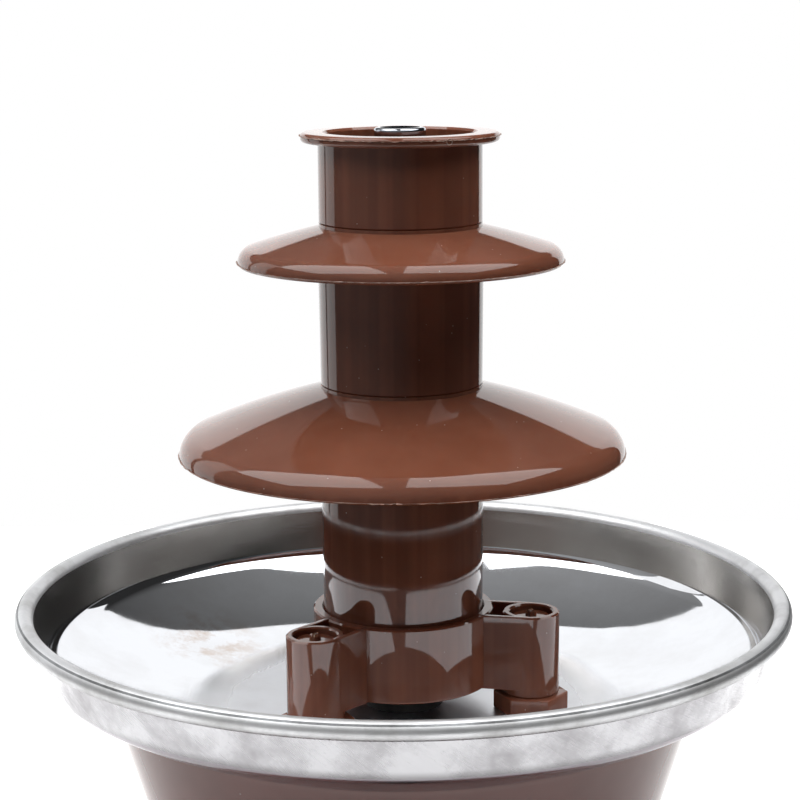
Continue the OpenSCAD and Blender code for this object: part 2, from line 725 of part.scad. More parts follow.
module gearbox_top_plate() color(zinc) translate([0, 0, gearbox_roof_z]) difference() {
    cylinder(r = plate_r, h = plate_t);
    translate([0, 0, -cut]) {
        cylinder(r = bush_r, h = plate_t + 2 * cut);
        translate(idler_pos) cylinder(r = idler_pin_r, h = plate_t + 2 * cut);
        at_pillars() cylinder(r = screw_r + screw_clear, h = plate_t + 2 * cut);
        at_bosses() cylinder(r = post_head_r + 0.8, h = plate_t + 2 * cut);
    }
}

module gearbox_bottom_plate() color(zinc) translate([0, 0, motor_face_z]) difference() {
    cylinder(r = plate_r, h = plate_t);
    translate([0, 0, -cut]) {
        cylinder(r = bush_r, h = plate_t + 2 * cut);
        translate(idler_pos) cylinder(r = idler_pin_r, h = plate_t + 2 * cut);
        at_pillars() cylinder(r = screw_r + screw_clear, h = plate_t + 2 * cut);
        translate(motor_pos) cylinder(r = motor_boss_r + run_gap, h = plate_t + 2 * cut);
        at_motor_screws() cylinder(r = screw_r + screw_clear, h = plate_t + 2 * cut);
    }
}

module gearbox_pillars() color(zinc) at_pillars() translate([0, 0, gearbox_floor_z])
    ring(pillar_r, screw_r + screw_clear, gearbox_gap);

module gearbox_screws() color(zinc) at_pillars() translate([0, 0, motor_face_z])
    pan_screw(screw_r, 2 * plate_t + gearbox_gap + web_t + 3, head_r, head_h);

clip_groove_r = shaft_r - 0.6;
clip_t = 0.9;
clip_z = motor_face_z - bush_flange_t / 2 - clip_t - run_gap;
hub_z = gearbox_floor_z + bush_flange_t + run_gap;
gear_pin_r = 1;
gear_pin_z = hub_top_z - hub_rise / 2;
hub_r = shaft_r + 3;

// Shaft with a hexagon end for the auger, a groove for its clip and a cross hole for the gear's pin
module drive_shaft() color(zinc) {
    tail_z = clip_z - 1.2;
    difference() {
        union() {
            translate([0, 0, tail_z]) cylinder(r = shaft_r, h = drive_hex_z - tail_z);
            translate([0, 0, drive_hex_z - cut]) cylinder(r = shaft_r, h = drive_hex_h + cut, $fn = 6);
        }
        translate([0, 0, clip_z]) ring(shaft_r + cut, clip_groove_r, clip_t + run_gap);
        translate([0, 0, gear_pin_z]) rotate([90, 0, 0])
            cylinder(r = gear_pin_r, h = 4 * shaft_r, center = true);
    }
}

module gear_pin() color(steel) translate([0, 0, gear_pin_z]) rotate([90, 0, 0])
    cylinder(r = gear_pin_r - run_gap / 2, h = 2 * hub_r - side_gap, center = true);

// Open clip that sits in the shaft's groove under the bottom plate
module shaft_clip() color(steel) translate([0, 0, clip_z + run_gap / 2]) difference() {
    ring(shaft_r + 2.4, clip_groove_r + run_gap / 2, clip_t);
    translate([0, -clip_groove_r * 0.8, -cut]) cube([3 * shaft_r, clip_groove_r * 1.6, clip_t + 2 * cut]);
}

module bush(sleeve_z, sleeve_h, flange_z) difference() {
    union() {
        translate([0, 0, sleeve_z]) cylinder(r = bush_r - run_gap / 5, h = sleeve_h);
        translate([0, 0, flange_z]) cylinder(r = bush_r + 1.5, h = bush_flange_t);
    }
    translate([0, 0, sleeve_z - cut]) cylinder(r = shaft_r + run_gap, h = sleeve_h + bush_flange_t + 2 * cut);
}

module upper_bush() color(bronze)
    bush(gearbox_roof_z, plate_t + bush_flange_t, bulkhead_z);

module lower_bush() color(bronze)
    bush(motor_face_z - bush_flange_t / 2, plate_t + bush_flange_t, gearbox_floor_z);

// Half the angle that a tooth spans at a radius, from the involute of its base circle
function involute(a) = tan(a) - a * PI / 180;
function tooth_half(teeth, r) =
    let (pitch_r = gear_module * teeth / 2)
    let (base_r = pitch_r * cos(pressure_angle))
    let (at = acos(base_r / max(r, base_r)))
    (gear_module * PI / 2 - backlash) / (2 * pitch_r) * 180 / PI
        + (involute(pressure_angle) - involute(at)) * 180 / PI;

// Toothed disc with a tooth on +X, three points to a flank
module gear_teeth(teeth, h) {
    pitch_r = gear_module * teeth / 2;
    radii = [pitch_r - dedendum, pitch_r, pitch_r + addendum];
    linear_extrude(h) polygon([for (i = [0 : teeth - 1], k = [0 : 5])
        let (r = k < 3 ? radii[k] : radii[5 - k])
        let (side = k < 3 ? -1 : 1)
        let (a = 360 * i / teeth + side * tooth_half(teeth, r))
        r * [cos(a), sin(a)]]);
}

// Wheel pinned to the shaft, with a hub that stands on the lower bush
module output_gear() color(nylon) difference() {
    union() {
        translate([0, 0, output_wheel_z]) rotate(idler_angle) gear_teeth(wheel_teeth, wheel_w);
        translate([0, 0, hub_z]) cylinder(r = hub_r, h = hub_top_z - hub_z);
    }
    translate([0, 0, hub_z - cut]) cylinder(r = shaft_r + run_gap / 5, h = gearbox_gap + 2 * cut);
    translate([0, 0, gear_pin_z]) rotate([90, 0, 0]) cylinder(r = gear_pin_r, h = 4 * hub_r, center = true);
    for (i = [0 : 5]) rotate(60 * i) translate([(hub_r + wheel_r) / 2, 0, output_wheel_z - cut])
        cylinder(r = (wheel_r - hub_r) / 5, h = wheel_w + 2 * cut);
}

// Compound gear: a wheel driven by the motor, over a pinion that drives the output wheel
module idler_gear() color(nylon) translate(idler_pos) difference() {
    union() {
        translate([0, 0, idler_wheel_z]) rotate(idler_to_motor) gear_teeth(wheel_teeth, wheel_w);
        translate([0, 0, gearbox_floor_z + side_gap]) rotate(idler_angle + 180 + 180 / pinion_teeth)
            gear_teeth(pinion_teeth, idler_wheel_z - gearbox_floor_z - side_gap + cut);
        translate([0, 0, idler_wheel_z + wheel_w - cut])
            cylinder(r = idler_pin_r + 2, h = cut + wheel_headroom - side_gap);
    }
    translate([0, 0, gearbox_floor_z]) cylinder(r = idler_pin_r + run_gap, h = gearbox_gap);
}

module idler_pin() color(steel) translate(concat(idler_pos, motor_face_z))
    cylinder(r = idler_pin_r - run_gap / 5, h = gearbox_gap + 2 * plate_t);

motor_boss_r = 5;
motor_shaft_gap = 0.05;
cap_z = motor_face_z - can_h - cap_h;
board_t = 1.6;
capacitor_h = 8;

module at_motor_screws() {
    for (side = [-1, 1]) translate(motor_pos + [side * motor_screw_in, 0]) children();
}

// Drawn steel can with its bearing boss and two screw holes
module motor_can() color(steel) difference() {
    translate(motor_pos) {
        translate([0, 0, motor_face_z - can_h]) cylinder(r = motor_r, h = can_h);
        translate([0, 0, motor_face_z - cut]) cylinder(r = motor_boss_r, h = plate_t + cut);
    }
    translate(concat(motor_pos, motor_face_z - can_h - cut))
        cylinder(r = motor_shaft_r + motor_shaft_gap, h = can_h + plate_t + 2 * cut);
    at_motor_screws() translate([0, 0, motor_face_z - 4]) cylinder(r = screw_r + run_gap, h = 4 + cut);
}

module motor_end_cap() color(black) translate(concat(motor_pos, cap_z)) difference() {
    cylinder(r = motor_r - 0.4, h = cap_h);
    translate([0, 0, cap_h / 2]) cylinder(r = motor_shaft_r + motor_shaft_gap, h = cap_h);
}

module motor_shaft() color(steel) translate(concat(motor_pos, cap_z + cap_h / 2 + run_gap))
    cylinder(r = motor_shaft_r, h = gearbox_roof_z - cap_z - cap_h / 2 - side_gap);

module motor_pinion() color(bronze) translate(concat(motor_pos, idler_wheel_z - side_gap)) difference() {
    rotate(idler_to_motor + 180 + 180 / pinion_teeth) gear_teeth(pinion_teeth, pinion_w);
    translate([0, 0, -cut]) cylinder(r = motor_shaft_r + run_gap / 5, h = pinion_w + 2 * cut);
}

module motor_screws() color(zinc) at_motor_screws() translate([0, 0, gearbox_floor_z]) mirror([0, 0, 1])
    pan_screw(screw_r, plate_t + 3, head_r * 0.8, 1.4);

// Round board on the motor's tail with its smoothing capacitor and four diodes
module rectifier_board() color(board_green) translate(concat(motor_pos, cap_z)) {
    translate([0, 0, -board_t]) cylinder(r = motor_r - 1.4, h = board_t);
    translate([-motor_r / 3, 0, -board_t - capacitor_h])
        cylinder(r = motor_r / 4, h = capacitor_h + board_t / 2);
    for (i = [-1.5 : 1 : 1.5]) translate([motor_r / 3, i * motor_r / 4, -board_t - 1])
        rotate([0, 90, 0]) cylinder(r = motor_r / 11, h = motor_r / 2.5, center = true);
}

// Round switch behind the front pad, its threaded bush through the panel
module rotary_switch() color(black) facing_front() difference() {
    union() {
        translate([0, 0, pad_y - panel_t - switch_depth]) cylinder(r = switch_r, h = switch_depth);
        translate([0, 0, pad_y - panel_t - cut]) cylinder(r = switch_bush_r, h = panel_t + switch_bush_out + cut);
    }
    translate([0, 0, pad_y - panel_t - switch_depth / 2])
        cylinder(r = spindle_r + run_gap, h = switch_depth + panel_t + switch_bush_out);
}

module switch_nut() color(zinc) facing_front() translate([0, 0, pad_y]) difference() {
    cylinder(r = switch_nut_r, h = switch_nut_t, $fn = 6);
    translate([0, 0, -cut]) cylinder(r = switch_bush_r + run_gap / 5, h = switch_nut_t + 2 * cut);
}

// Spindle with a flat along its front end
module switch_spindle() color(zinc) facing_front() {
    inner = pad_y - panel_t - switch_depth / 2 + run_gap;
    outer = pad_y + knob_h - 2;
    difference() {
        translate([0, 0, inner]) cylinder(r = spindle_r, h = outer - inner);
        translate([-spindle_r - cut, spindle_flat, pad_y + switch_bush_out + side_gap])
            cube([2 * spindle_r + 2 * cut, spindle_r, knob_h]);
    }
}

// Knob with a skirt, a finger bar and a pointer groove
module control_knob() color(black) facing_front() translate([0, 0, pad_y + knob_gap]) {
    skirt = 4;
    bar_w = knob_r * 0.6;
    bore_top = knob_h - 2 - knob_gap + side_gap;
    difference() {
        union() {
            cylinder(r1 = knob_r, r2 = knob_r - 0.8, h = skirt);
            intersection() {
                cylinder(r = knob_r - 1.4, h = knob_h - knob_gap);
                translate([-bar_w / 2, -knob_r, 0]) cube([bar_w, 2 * knob_r, knob_h]);
            }
            cylinder(r = spindle_r + 2.5, h = knob_h - knob_gap - 1);
        }
        translate([0, 0, -cut]) cylinder(r = switch_nut_r + 0.6, h = cut + switch_nut_t + side_gap);
        translate([0, 0, -cut]) cylinder(r = switch_bush_r + side_gap, h = cut + switch_bush_out + side_gap);
        difference() {
            cylinder(r = spindle_r + run_gap / 2, h = bore_top);
            translate([-knob_r, spindle_flat + run_gap / 2, switch_bush_out])
                cube([2 * knob_r, spindle_r, knob_h]);
        }
        translate([-0.5, knob_r / 2, knob_h - knob_gap - 0.8]) cube([1, knob_r, 0.8 + cut]);
    }
}

// Rubber gland with a flange on each side of the rear pad
module cord_gland() color(black) facing_rear() difference() {
    union() {
        translate([0, 0, pad_y]) cylinder(r1 = gland_flange_r, r2 = gland_flange_r - 0.8, h = gland_flange_t);
        translate([0, 0, pad_y - panel_t - gland_flange_t]) cylinder(r = gland_flange_r, h = gland_flange_t);
        translate([0, 0, pad_y - panel_t - cut]) cylinder(r = gland_neck_r, h = panel_t + 2 * cut);
    }
    translate([0, 0, pad_y - panel_t - gland_flange_t - cut])
        cylinder(r = gland_bore_r, h = panel_t + 2 * gland_flange_t + 2 * cut);
}

crown_tube();
upper_tier();
lower_tier();
tower_foot();
tower_post_right();
tower_post_rear();
tower_post_left();
auger_core();
auger_flight();
bowl();
shaft_seal();
bowl_gasket();
post_screws();
post_washers();
heater_plate();
heater_element();
thermostat();
thermal_fuse();
fuse_clip();
base_housing();
bottom_cover();
cover_screws();
foot_front_right();
foot_rear_right();
foot_rear_left();
foot_front_left();
gearbox_top_plate();
gearbox_bottom_plate();
gearbox_pillars();
gearbox_screws();
drive_shaft();
gear_pin();
shaft_clip();
upper_bush();
lower_bush();
output_gear();
idler_gear();
idler_pin();
motor_can();
motor_end_cap();
motor_shaft();
motor_pinion();
motor_screws();
rectifier_board();
rotary_switch();
switch_nut();
switch_spindle();
control_knob();
cord_gland();
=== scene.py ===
"""Looks of a table-top chocolate fountain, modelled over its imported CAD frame.

The glossy round pieces of the tower, the bowl and the pedestal are turned again here as smooth
meshes that stand in for their CAD nodes. The gears, the heater, the motor and the fasteners keep
their CAD mesh and take a material. The stage has the pale table, two white cards and the two soft
boxes that the photograph's reflections show. Sizes are in millimetres unless said otherwise, and
those of the stage are in metres.
"""

import json
import logging
import math
from collections.abc import Callable, Sequence
from dataclasses import dataclass, field
from enum import Enum

import bpy
from mathutils import Euler, Matrix, Vector

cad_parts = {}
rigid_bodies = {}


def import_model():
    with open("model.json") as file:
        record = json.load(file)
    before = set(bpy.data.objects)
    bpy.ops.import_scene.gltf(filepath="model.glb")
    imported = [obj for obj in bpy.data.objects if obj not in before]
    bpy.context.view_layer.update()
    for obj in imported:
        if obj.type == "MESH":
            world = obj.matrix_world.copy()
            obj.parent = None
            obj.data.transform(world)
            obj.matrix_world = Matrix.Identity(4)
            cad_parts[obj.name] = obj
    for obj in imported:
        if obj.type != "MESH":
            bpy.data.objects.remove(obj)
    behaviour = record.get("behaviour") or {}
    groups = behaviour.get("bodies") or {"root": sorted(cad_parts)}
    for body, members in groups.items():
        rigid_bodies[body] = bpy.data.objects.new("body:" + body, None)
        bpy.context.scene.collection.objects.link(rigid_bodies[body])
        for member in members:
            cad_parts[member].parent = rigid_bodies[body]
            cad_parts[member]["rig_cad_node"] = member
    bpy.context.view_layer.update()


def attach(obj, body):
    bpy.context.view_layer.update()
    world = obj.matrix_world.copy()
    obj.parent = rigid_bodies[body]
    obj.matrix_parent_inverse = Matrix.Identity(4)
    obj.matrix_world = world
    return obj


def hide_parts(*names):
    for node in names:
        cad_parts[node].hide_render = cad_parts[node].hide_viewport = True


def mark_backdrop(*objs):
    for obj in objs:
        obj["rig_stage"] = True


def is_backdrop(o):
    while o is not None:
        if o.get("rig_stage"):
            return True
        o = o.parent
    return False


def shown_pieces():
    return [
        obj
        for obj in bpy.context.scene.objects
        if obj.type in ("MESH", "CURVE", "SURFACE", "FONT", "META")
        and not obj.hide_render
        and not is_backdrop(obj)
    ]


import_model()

LOG = logging.getLogger("fountain")

MM = 0.001
# Steps round a full turn: large glossy pieces, the bowl, middling pieces, small ones and the posts
TURN_STEPS = 256
BOWL_STEPS = 320
MIDDLE_STEPS = 128
SMALL_STEPS = 96
POST_STEPS = 48
ARC_STEPS = 14
BEVEL_STEPS = 3
WELD = 0.0005 * MM
# The thin flash past a rim: where its tearing starts, how far it is torn, and where it looks torn
FLASH_START = 0.1
FLASH_TEAR = 0.22
FLASH_SEEN = 0.02
# How far red, green and blue light go in brown plastic, as shares of its glow depth
GLOW_BY_COLOUR = (1.0, 0.5, 0.35)

Outline = list[tuple[float, float]]


class Join(Enum):
    """Ways in which one solid is combined with another."""

    ADD = "UNION"
    CUT = "DIFFERENCE"
    KEEP = "INTERSECT"


class Slot(Enum):
    """Material slots of the part's record."""

    CHOCOLATE = "chocolate_plastic"
    HOUSING = "housing_plastic"
    BOWL = "bowl_steel"
    POLISHED = "polished_steel"
    ZINC = "zinc_steel"
    HEATER = "heater_aluminium"
    BRONZE = "bush_bronze"
    NYLON = "nylon"
    BLACK = "black_plastic"
    RUBBER = "black_rubber"
    BOARD = "board_laminate"


def linear(code: str) -> tuple[float, float, float, float]:
    """Turns an sRGB colour into the linear colour that shaders take.

    Args:
        code: Colour as six hexadecimal digits after a hash.

    Returns:
        Red, green, blue and alpha, each from 0 to 1.
    """
    parts = [int(code[i:i + 2], 16) / 255 for i in (1, 3, 5)]
    red, green, blue = (c / 12.92 if c <= 0.04045 else ((c + 0.055) / 1.055) ** 2.4 for c in parts)
    return red, green, blue, 1.0


def add_node(tree: bpy.types.NodeTree, kind: str, inputs: dict | None = None,
             ramp: Sequence[tuple[float, str]] = (), **settings) -> bpy.types.Node:
    """Adds a shader node with its settings and links.

    Args:
        tree: Node tree that takes the node.
        kind: Blender's name of the node type.
        inputs: Values or source sockets by the name or index of the input they go to.
        ramp: Stops of a colour ramp, each a place from 0 to 1 and a colour.
        settings: Properties of the node.

    Returns:
        The new node.
    """
    made = tree.nodes.new(kind)
    for name, value in settings.items():
        setattr(made, name, value)
    for key, value in (inputs or {}).items():
        if isinstance(value, bpy.types.NodeSocket):
            tree.links.new(value, made.inputs[key])
        else:
            made.inputs[key].default_value = value
    for index, (place, code) in enumerate(ramp):
        stops = made.color_ramp.elements
        stop = stops[index] if index < 2 else stops.new(place)
        stop.position = place
        stop.color = linear(code)
    return made


@dataclass(frozen=True)
class Finish:
    """A material made of shader nodes; subclasses add what they give the eye."""

    name: str
    colour: str

    def nodes(self, tree: bpy.types.NodeTree, shader: bpy.types.Node) -> None:
        """Adds the finish's own nodes to a tree that has a plain shader.

        Args:
            tree: Node tree of the material.
            shader: Its shader.
        """

    def make(self) -> bpy.types.Material:
        """Makes the material, or finds it if it was made before.

        Returns:
            The material.
        """
        found = bpy.data.materials.get(self.name)
        if found:
            return found
        material = bpy.data.materials.new(self.name)
        material.use_nodes = True
        tree = material.node_tree
        shader = tree.nodes["Principled BSDF"]
        shader.inputs["Base Color"].default_value = linear(self.colour)
        self.nodes(tree, shader)
        return material


@dataclass(frozen=True)
class MouldedPlastic(Finish):
    """Injection-moulded plastic: gloss with soft smears, faint flow tones and dust specks."""

    second: str
    dust: str
    gloss: tuple[float, float] = (0.03, 0.07)
    smear_size: float = 9.0
    flow_size: float = 22.0
    flow_stops: tuple[float, float] = (0.35, 0.65)
    dust_spacing: float = 2.6
    dust_radius: float = 0.055
    dust_share: float = 0.5
    dust_cover: float = 0.55
    line_size: tuple[float, float, float] = (3.2, 3.2, 400.0)
    line_band: tuple[float, float] = (0.62, 0.42)
    steep_band: tuple[float, float] = (0.3, 0.05)
    painted_streak_share: float = 0.0
    glow_share: float = 0.0
    glow_depth: float = 3.0
    peel_size: float = 7.0
    peel_height: float = 0.004

    def nodes(self, tree: bpy.types.NodeTree, shader: bpy.types.Node) -> None:
        """Adds flow tones, dust, dark streaks painted down steep faces as reflection stripes and shade,
        uneven gloss and skin, and the glow of thin walls.

        Args:
            tree: Node tree of the material.
            shader: Its shader.
        """
        place = add_node(tree, "ShaderNodeTexCoord").outputs["Object"]
        # Slow change between two tones, left by the melt as it filled the mould
        flow = add_node(tree, "ShaderNodeTexNoise",
                        {"Vector": place, "Scale": 1 / (self.flow_size * MM), "Detail": 3.0})
        tone = add_node(tree, "ShaderNodeValToRGB", {"Fac": flow.outputs["Fac"]},
                        list(zip(self.flow_stops, (self.colour, self.second))))
        dusty = self.specks(tree, place, tone.outputs["Color"])
        # Dark streaks down steep faces are painted reflection stripes and painted shade
        tree.links.new(self.painted_reflection_streaks(tree, place, dusty), shader.inputs["Base Color"])
        # Handling leaves duller smears on the gloss
        smear = add_node(tree, "ShaderNodeTexNoise",
                         {"Vector": place, "Scale": 1 / (self.smear_size * MM), "Detail": 4.0})
        dull = add_node(tree, "ShaderNodeMapRange",
                        {"Value": smear.outputs["Fac"], "To Min": self.gloss[0], "To Max": self.gloss[1]})
        tree.links.new(dull.outputs["Result"], shader.inputs["Roughness"])
        # A slightly uneven skin makes the edges of reflections waver
        peel = add_node(tree, "ShaderNodeTexNoise",
                        {"Vector": place, "Scale": 1 / (self.peel_size * MM), "Detail": 1.0})
        bump = add_node(tree, "ShaderNodeBump",
                        {"Height": peel.outputs["Fac"], "Distance": self.peel_height * MM})
        tree.links.new(bump.outputs["Normal"], shader.inputs["Normal"])
        # Some light passes through thin walls, red the furthest
        shader.inputs["Subsurface Weight"].default_value = self.glow_share
        shader.inputs["Subsurface Scale"].default_value = self.glow_depth * MM
        shader.inputs["Subsurface Radius"].default_value = GLOW_BY_COLOUR

    def specks(self, tree: bpy.types.NodeTree, place: bpy.types.NodeSocket,
               colour: bpy.types.NodeSocket) -> bpy.types.NodeSocket:
        """Adds pale specks of dust: small dots in some of the cells of a cell pattern.

        Args:
            tree: Node tree of the material.
            place: Object coordinates.
            colour: Colour under the dust.

        Returns:
            The colour with the dust.
        """
        cells = add_node(tree, "ShaderNodeTexVoronoi",
                         {"Vector": place, "Scale": 1 / (self.dust_spacing * MM)})
        near = add_node(tree, "ShaderNodeMath",
                        {0: cells.outputs["Distance"], 1: self.dust_radius}, operation="LESS_THAN")
        pick = add_node(tree, "ShaderNodeSeparateColor", {"Color": cells.outputs["Color"]})
        chosen = add_node(tree, "ShaderNodeMath",
                          {0: pick.outputs["Red"], 1: self.dust_share}, operation="LESS_THAN")
        dot = add_node(tree, "ShaderNodeMath",
                       {0: near.outputs[0], 1: chosen.outputs[0]}, operation="MULTIPLY")
        cover = add_node(tree, "ShaderNodeMath",
                         {0: dot.outputs[0], 1: self.dust_cover}, operation="MULTIPLY")
        dusty = add_node(tree, "ShaderNodeMixRGB",
                         {"Fac": cover.outputs[0], "Color1": colour, "Color2": linear(self.dust)})
        return dusty.outputs["Color"]

    def painted_reflection_streaks(self, tree: bpy.types.NodeTree, place: bpy.types.NodeSocket,
                   colour: bpy.types.NodeSocket) -> bpy.types.NodeSocket:
        """Adds dark streaks down steep faces: painted reflection stripes, which also darken those faces as
        painted shade.

        Args:
            tree: Node tree of the material.
            place: Object coordinates.
            colour: Colour under the lines.

        Returns:
            The colour with the lines.
        """
        drawn = add_node(tree, "ShaderNodeMapping",
                         {"Vector": place, "Scale": [1 / (size * MM) for size in self.line_size]})
        line = add_node(tree, "ShaderNodeTexNoise",
                        {"Vector": drawn.outputs["Vector"], "Scale": 1.0, "Detail": 2.0})
        facing = add_node(tree, "ShaderNodeSeparateXYZ",
                          {"Vector": add_node(tree, "ShaderNodeTexCoord").outputs["Normal"]})
        level = add_node(tree, "ShaderNodeMath", {0: facing.outputs["Z"]}, operation="ABSOLUTE")
        # Only steep faces take the painted streaks and shade
        steep = add_node(tree, "ShaderNodeMapRange",
                         {"Value": level.outputs[0], "From Min": self.steep_band[0],
                          "From Max": self.steep_band[1], "To Max": self.painted_streak_share})
        dark = add_node(tree, "ShaderNodeMapRange",
                        {"Value": line.outputs["Fac"], "From Min": self.line_band[0],
                         "From Max": self.line_band[1]})
        lined = add_node(tree, "ShaderNodeMath",
                         {0: steep.outputs["Result"], 1: dark.outputs["Result"]}, operation="MULTIPLY")
        marked = add_node(tree, "ShaderNodeMixRGB",
                          {"Fac": lined.outputs[0], "Color1": colour, "Color2": linear("#000000")})
        return marked.outputs["Color"]


@dataclass(frozen=True)
class Metal(Finish):
    """Bare metal with a fine grain: even sheen that breaks into small scratches.

    The real grain is too fine to show, so it is drawn coarser.
    """

    rough: tuple[float, float] = (0.2, 0.35)
    grain: tuple[float, float, float] = (0.4, 0.4, 0.4)
    grain_band: tuple[float, float] = (0.3, 0.7)
    grain_height: float = 0.004

    def nodes(self, tree: bpy.types.NodeTree, shader: bpy.types.Node) -> None:
        """Adds metal reflection with a stretched grain in its gloss and relief.

        Args:
            tree: Node tree of the material.
            shader: Its shader.
        """
        shader.inputs["Metallic"].default_value = 1.0
        place = add_node(tree, "ShaderNodeTexCoord").outputs["Object"]
        stretched = add_node(tree, "ShaderNodeMapping",
                             {"Vector": place, "Scale": [1 / (size * MM) for size in self.grain]})
        grain = add_node(tree, "ShaderNodeTexNoise",
                         {"Vector": stretched.outputs["Vector"], "Scale": 1.0, "Detail": 5.0})
        dull = add_node(tree, "ShaderNodeMapRange",
                        {"Value": grain.outputs["Fac"], "From Min": self.grain_band[0],
                         "From Max": self.grain_band[1], "To Min": self.rough[0], "To Max": self.rough[1]})
        tree.links.new(dull.outputs["Result"], shader.inputs["Roughness"])
        bump = add_node(tree, "ShaderNodeBump",
                        {"Height": grain.outputs["Fac"], "Distance": self.grain_height * MM})
        tree.links.new(bump.outputs["Normal"], shader.inputs["Normal"])


@dataclass(frozen=True)
class Rubber(Finish):
    """Moulded rubber: matt black with a fine bloom."""

    bloom_colour: str = "#34322f"
    bloom_size: float = 3.0
    bloom_stops: tuple[float, float] = (0.3, 0.8)
    rough: float = 0.7
    tooth: float = 0.01

    def nodes(self, tree: bpy.types.NodeTree, shader: bpy.types.Node) -> None:
        """Adds a grey bloom and a fine tooth to the surface.

        Args:
            tree: Node tree of the material.
            shader: Its shader.
        """
        place = add_node(tree, "ShaderNodeTexCoord").outputs["Object"]
        bloom = add_node(tree, "ShaderNodeTexNoise",
                         {"Vector": place, "Scale": 1 / (self.bloom_size * MM), "Detail": 6.0})
        tone = add_node(tree, "ShaderNodeValToRGB", {"Fac": bloom.outputs["Fac"]},
                        list(zip(self.bloom_stops, (self.colour, self.bloom_colour))))
        tree.links.new(tone.outputs["Color"], shader.inputs["Base Color"])
        shader.inputs["Roughness"].default_value = self.rough
        bump = add_node(tree, "ShaderNodeBump",
                        {"Height": bloom.outputs["Fac"], "Distance": self.tooth * MM})
        tree.links.new(bump.outputs["Normal"], shader.inputs["Normal"])


class BowlZone(Enum):
    """Zones of the pressed bowl, which wear in different ways."""

    FLOOR = "bowl_floor_mirror_steel"
    WALL = "bowl_wall_satin_steel"
    BEAD = "bowl_bead_worn_steel"
    CREST = "bowl_bead_pitted_crest_steel"
    OUTSIDE = "bowl_outside_scuffed_steel"
    UNDER = "bowl_underside_drawn_steel"


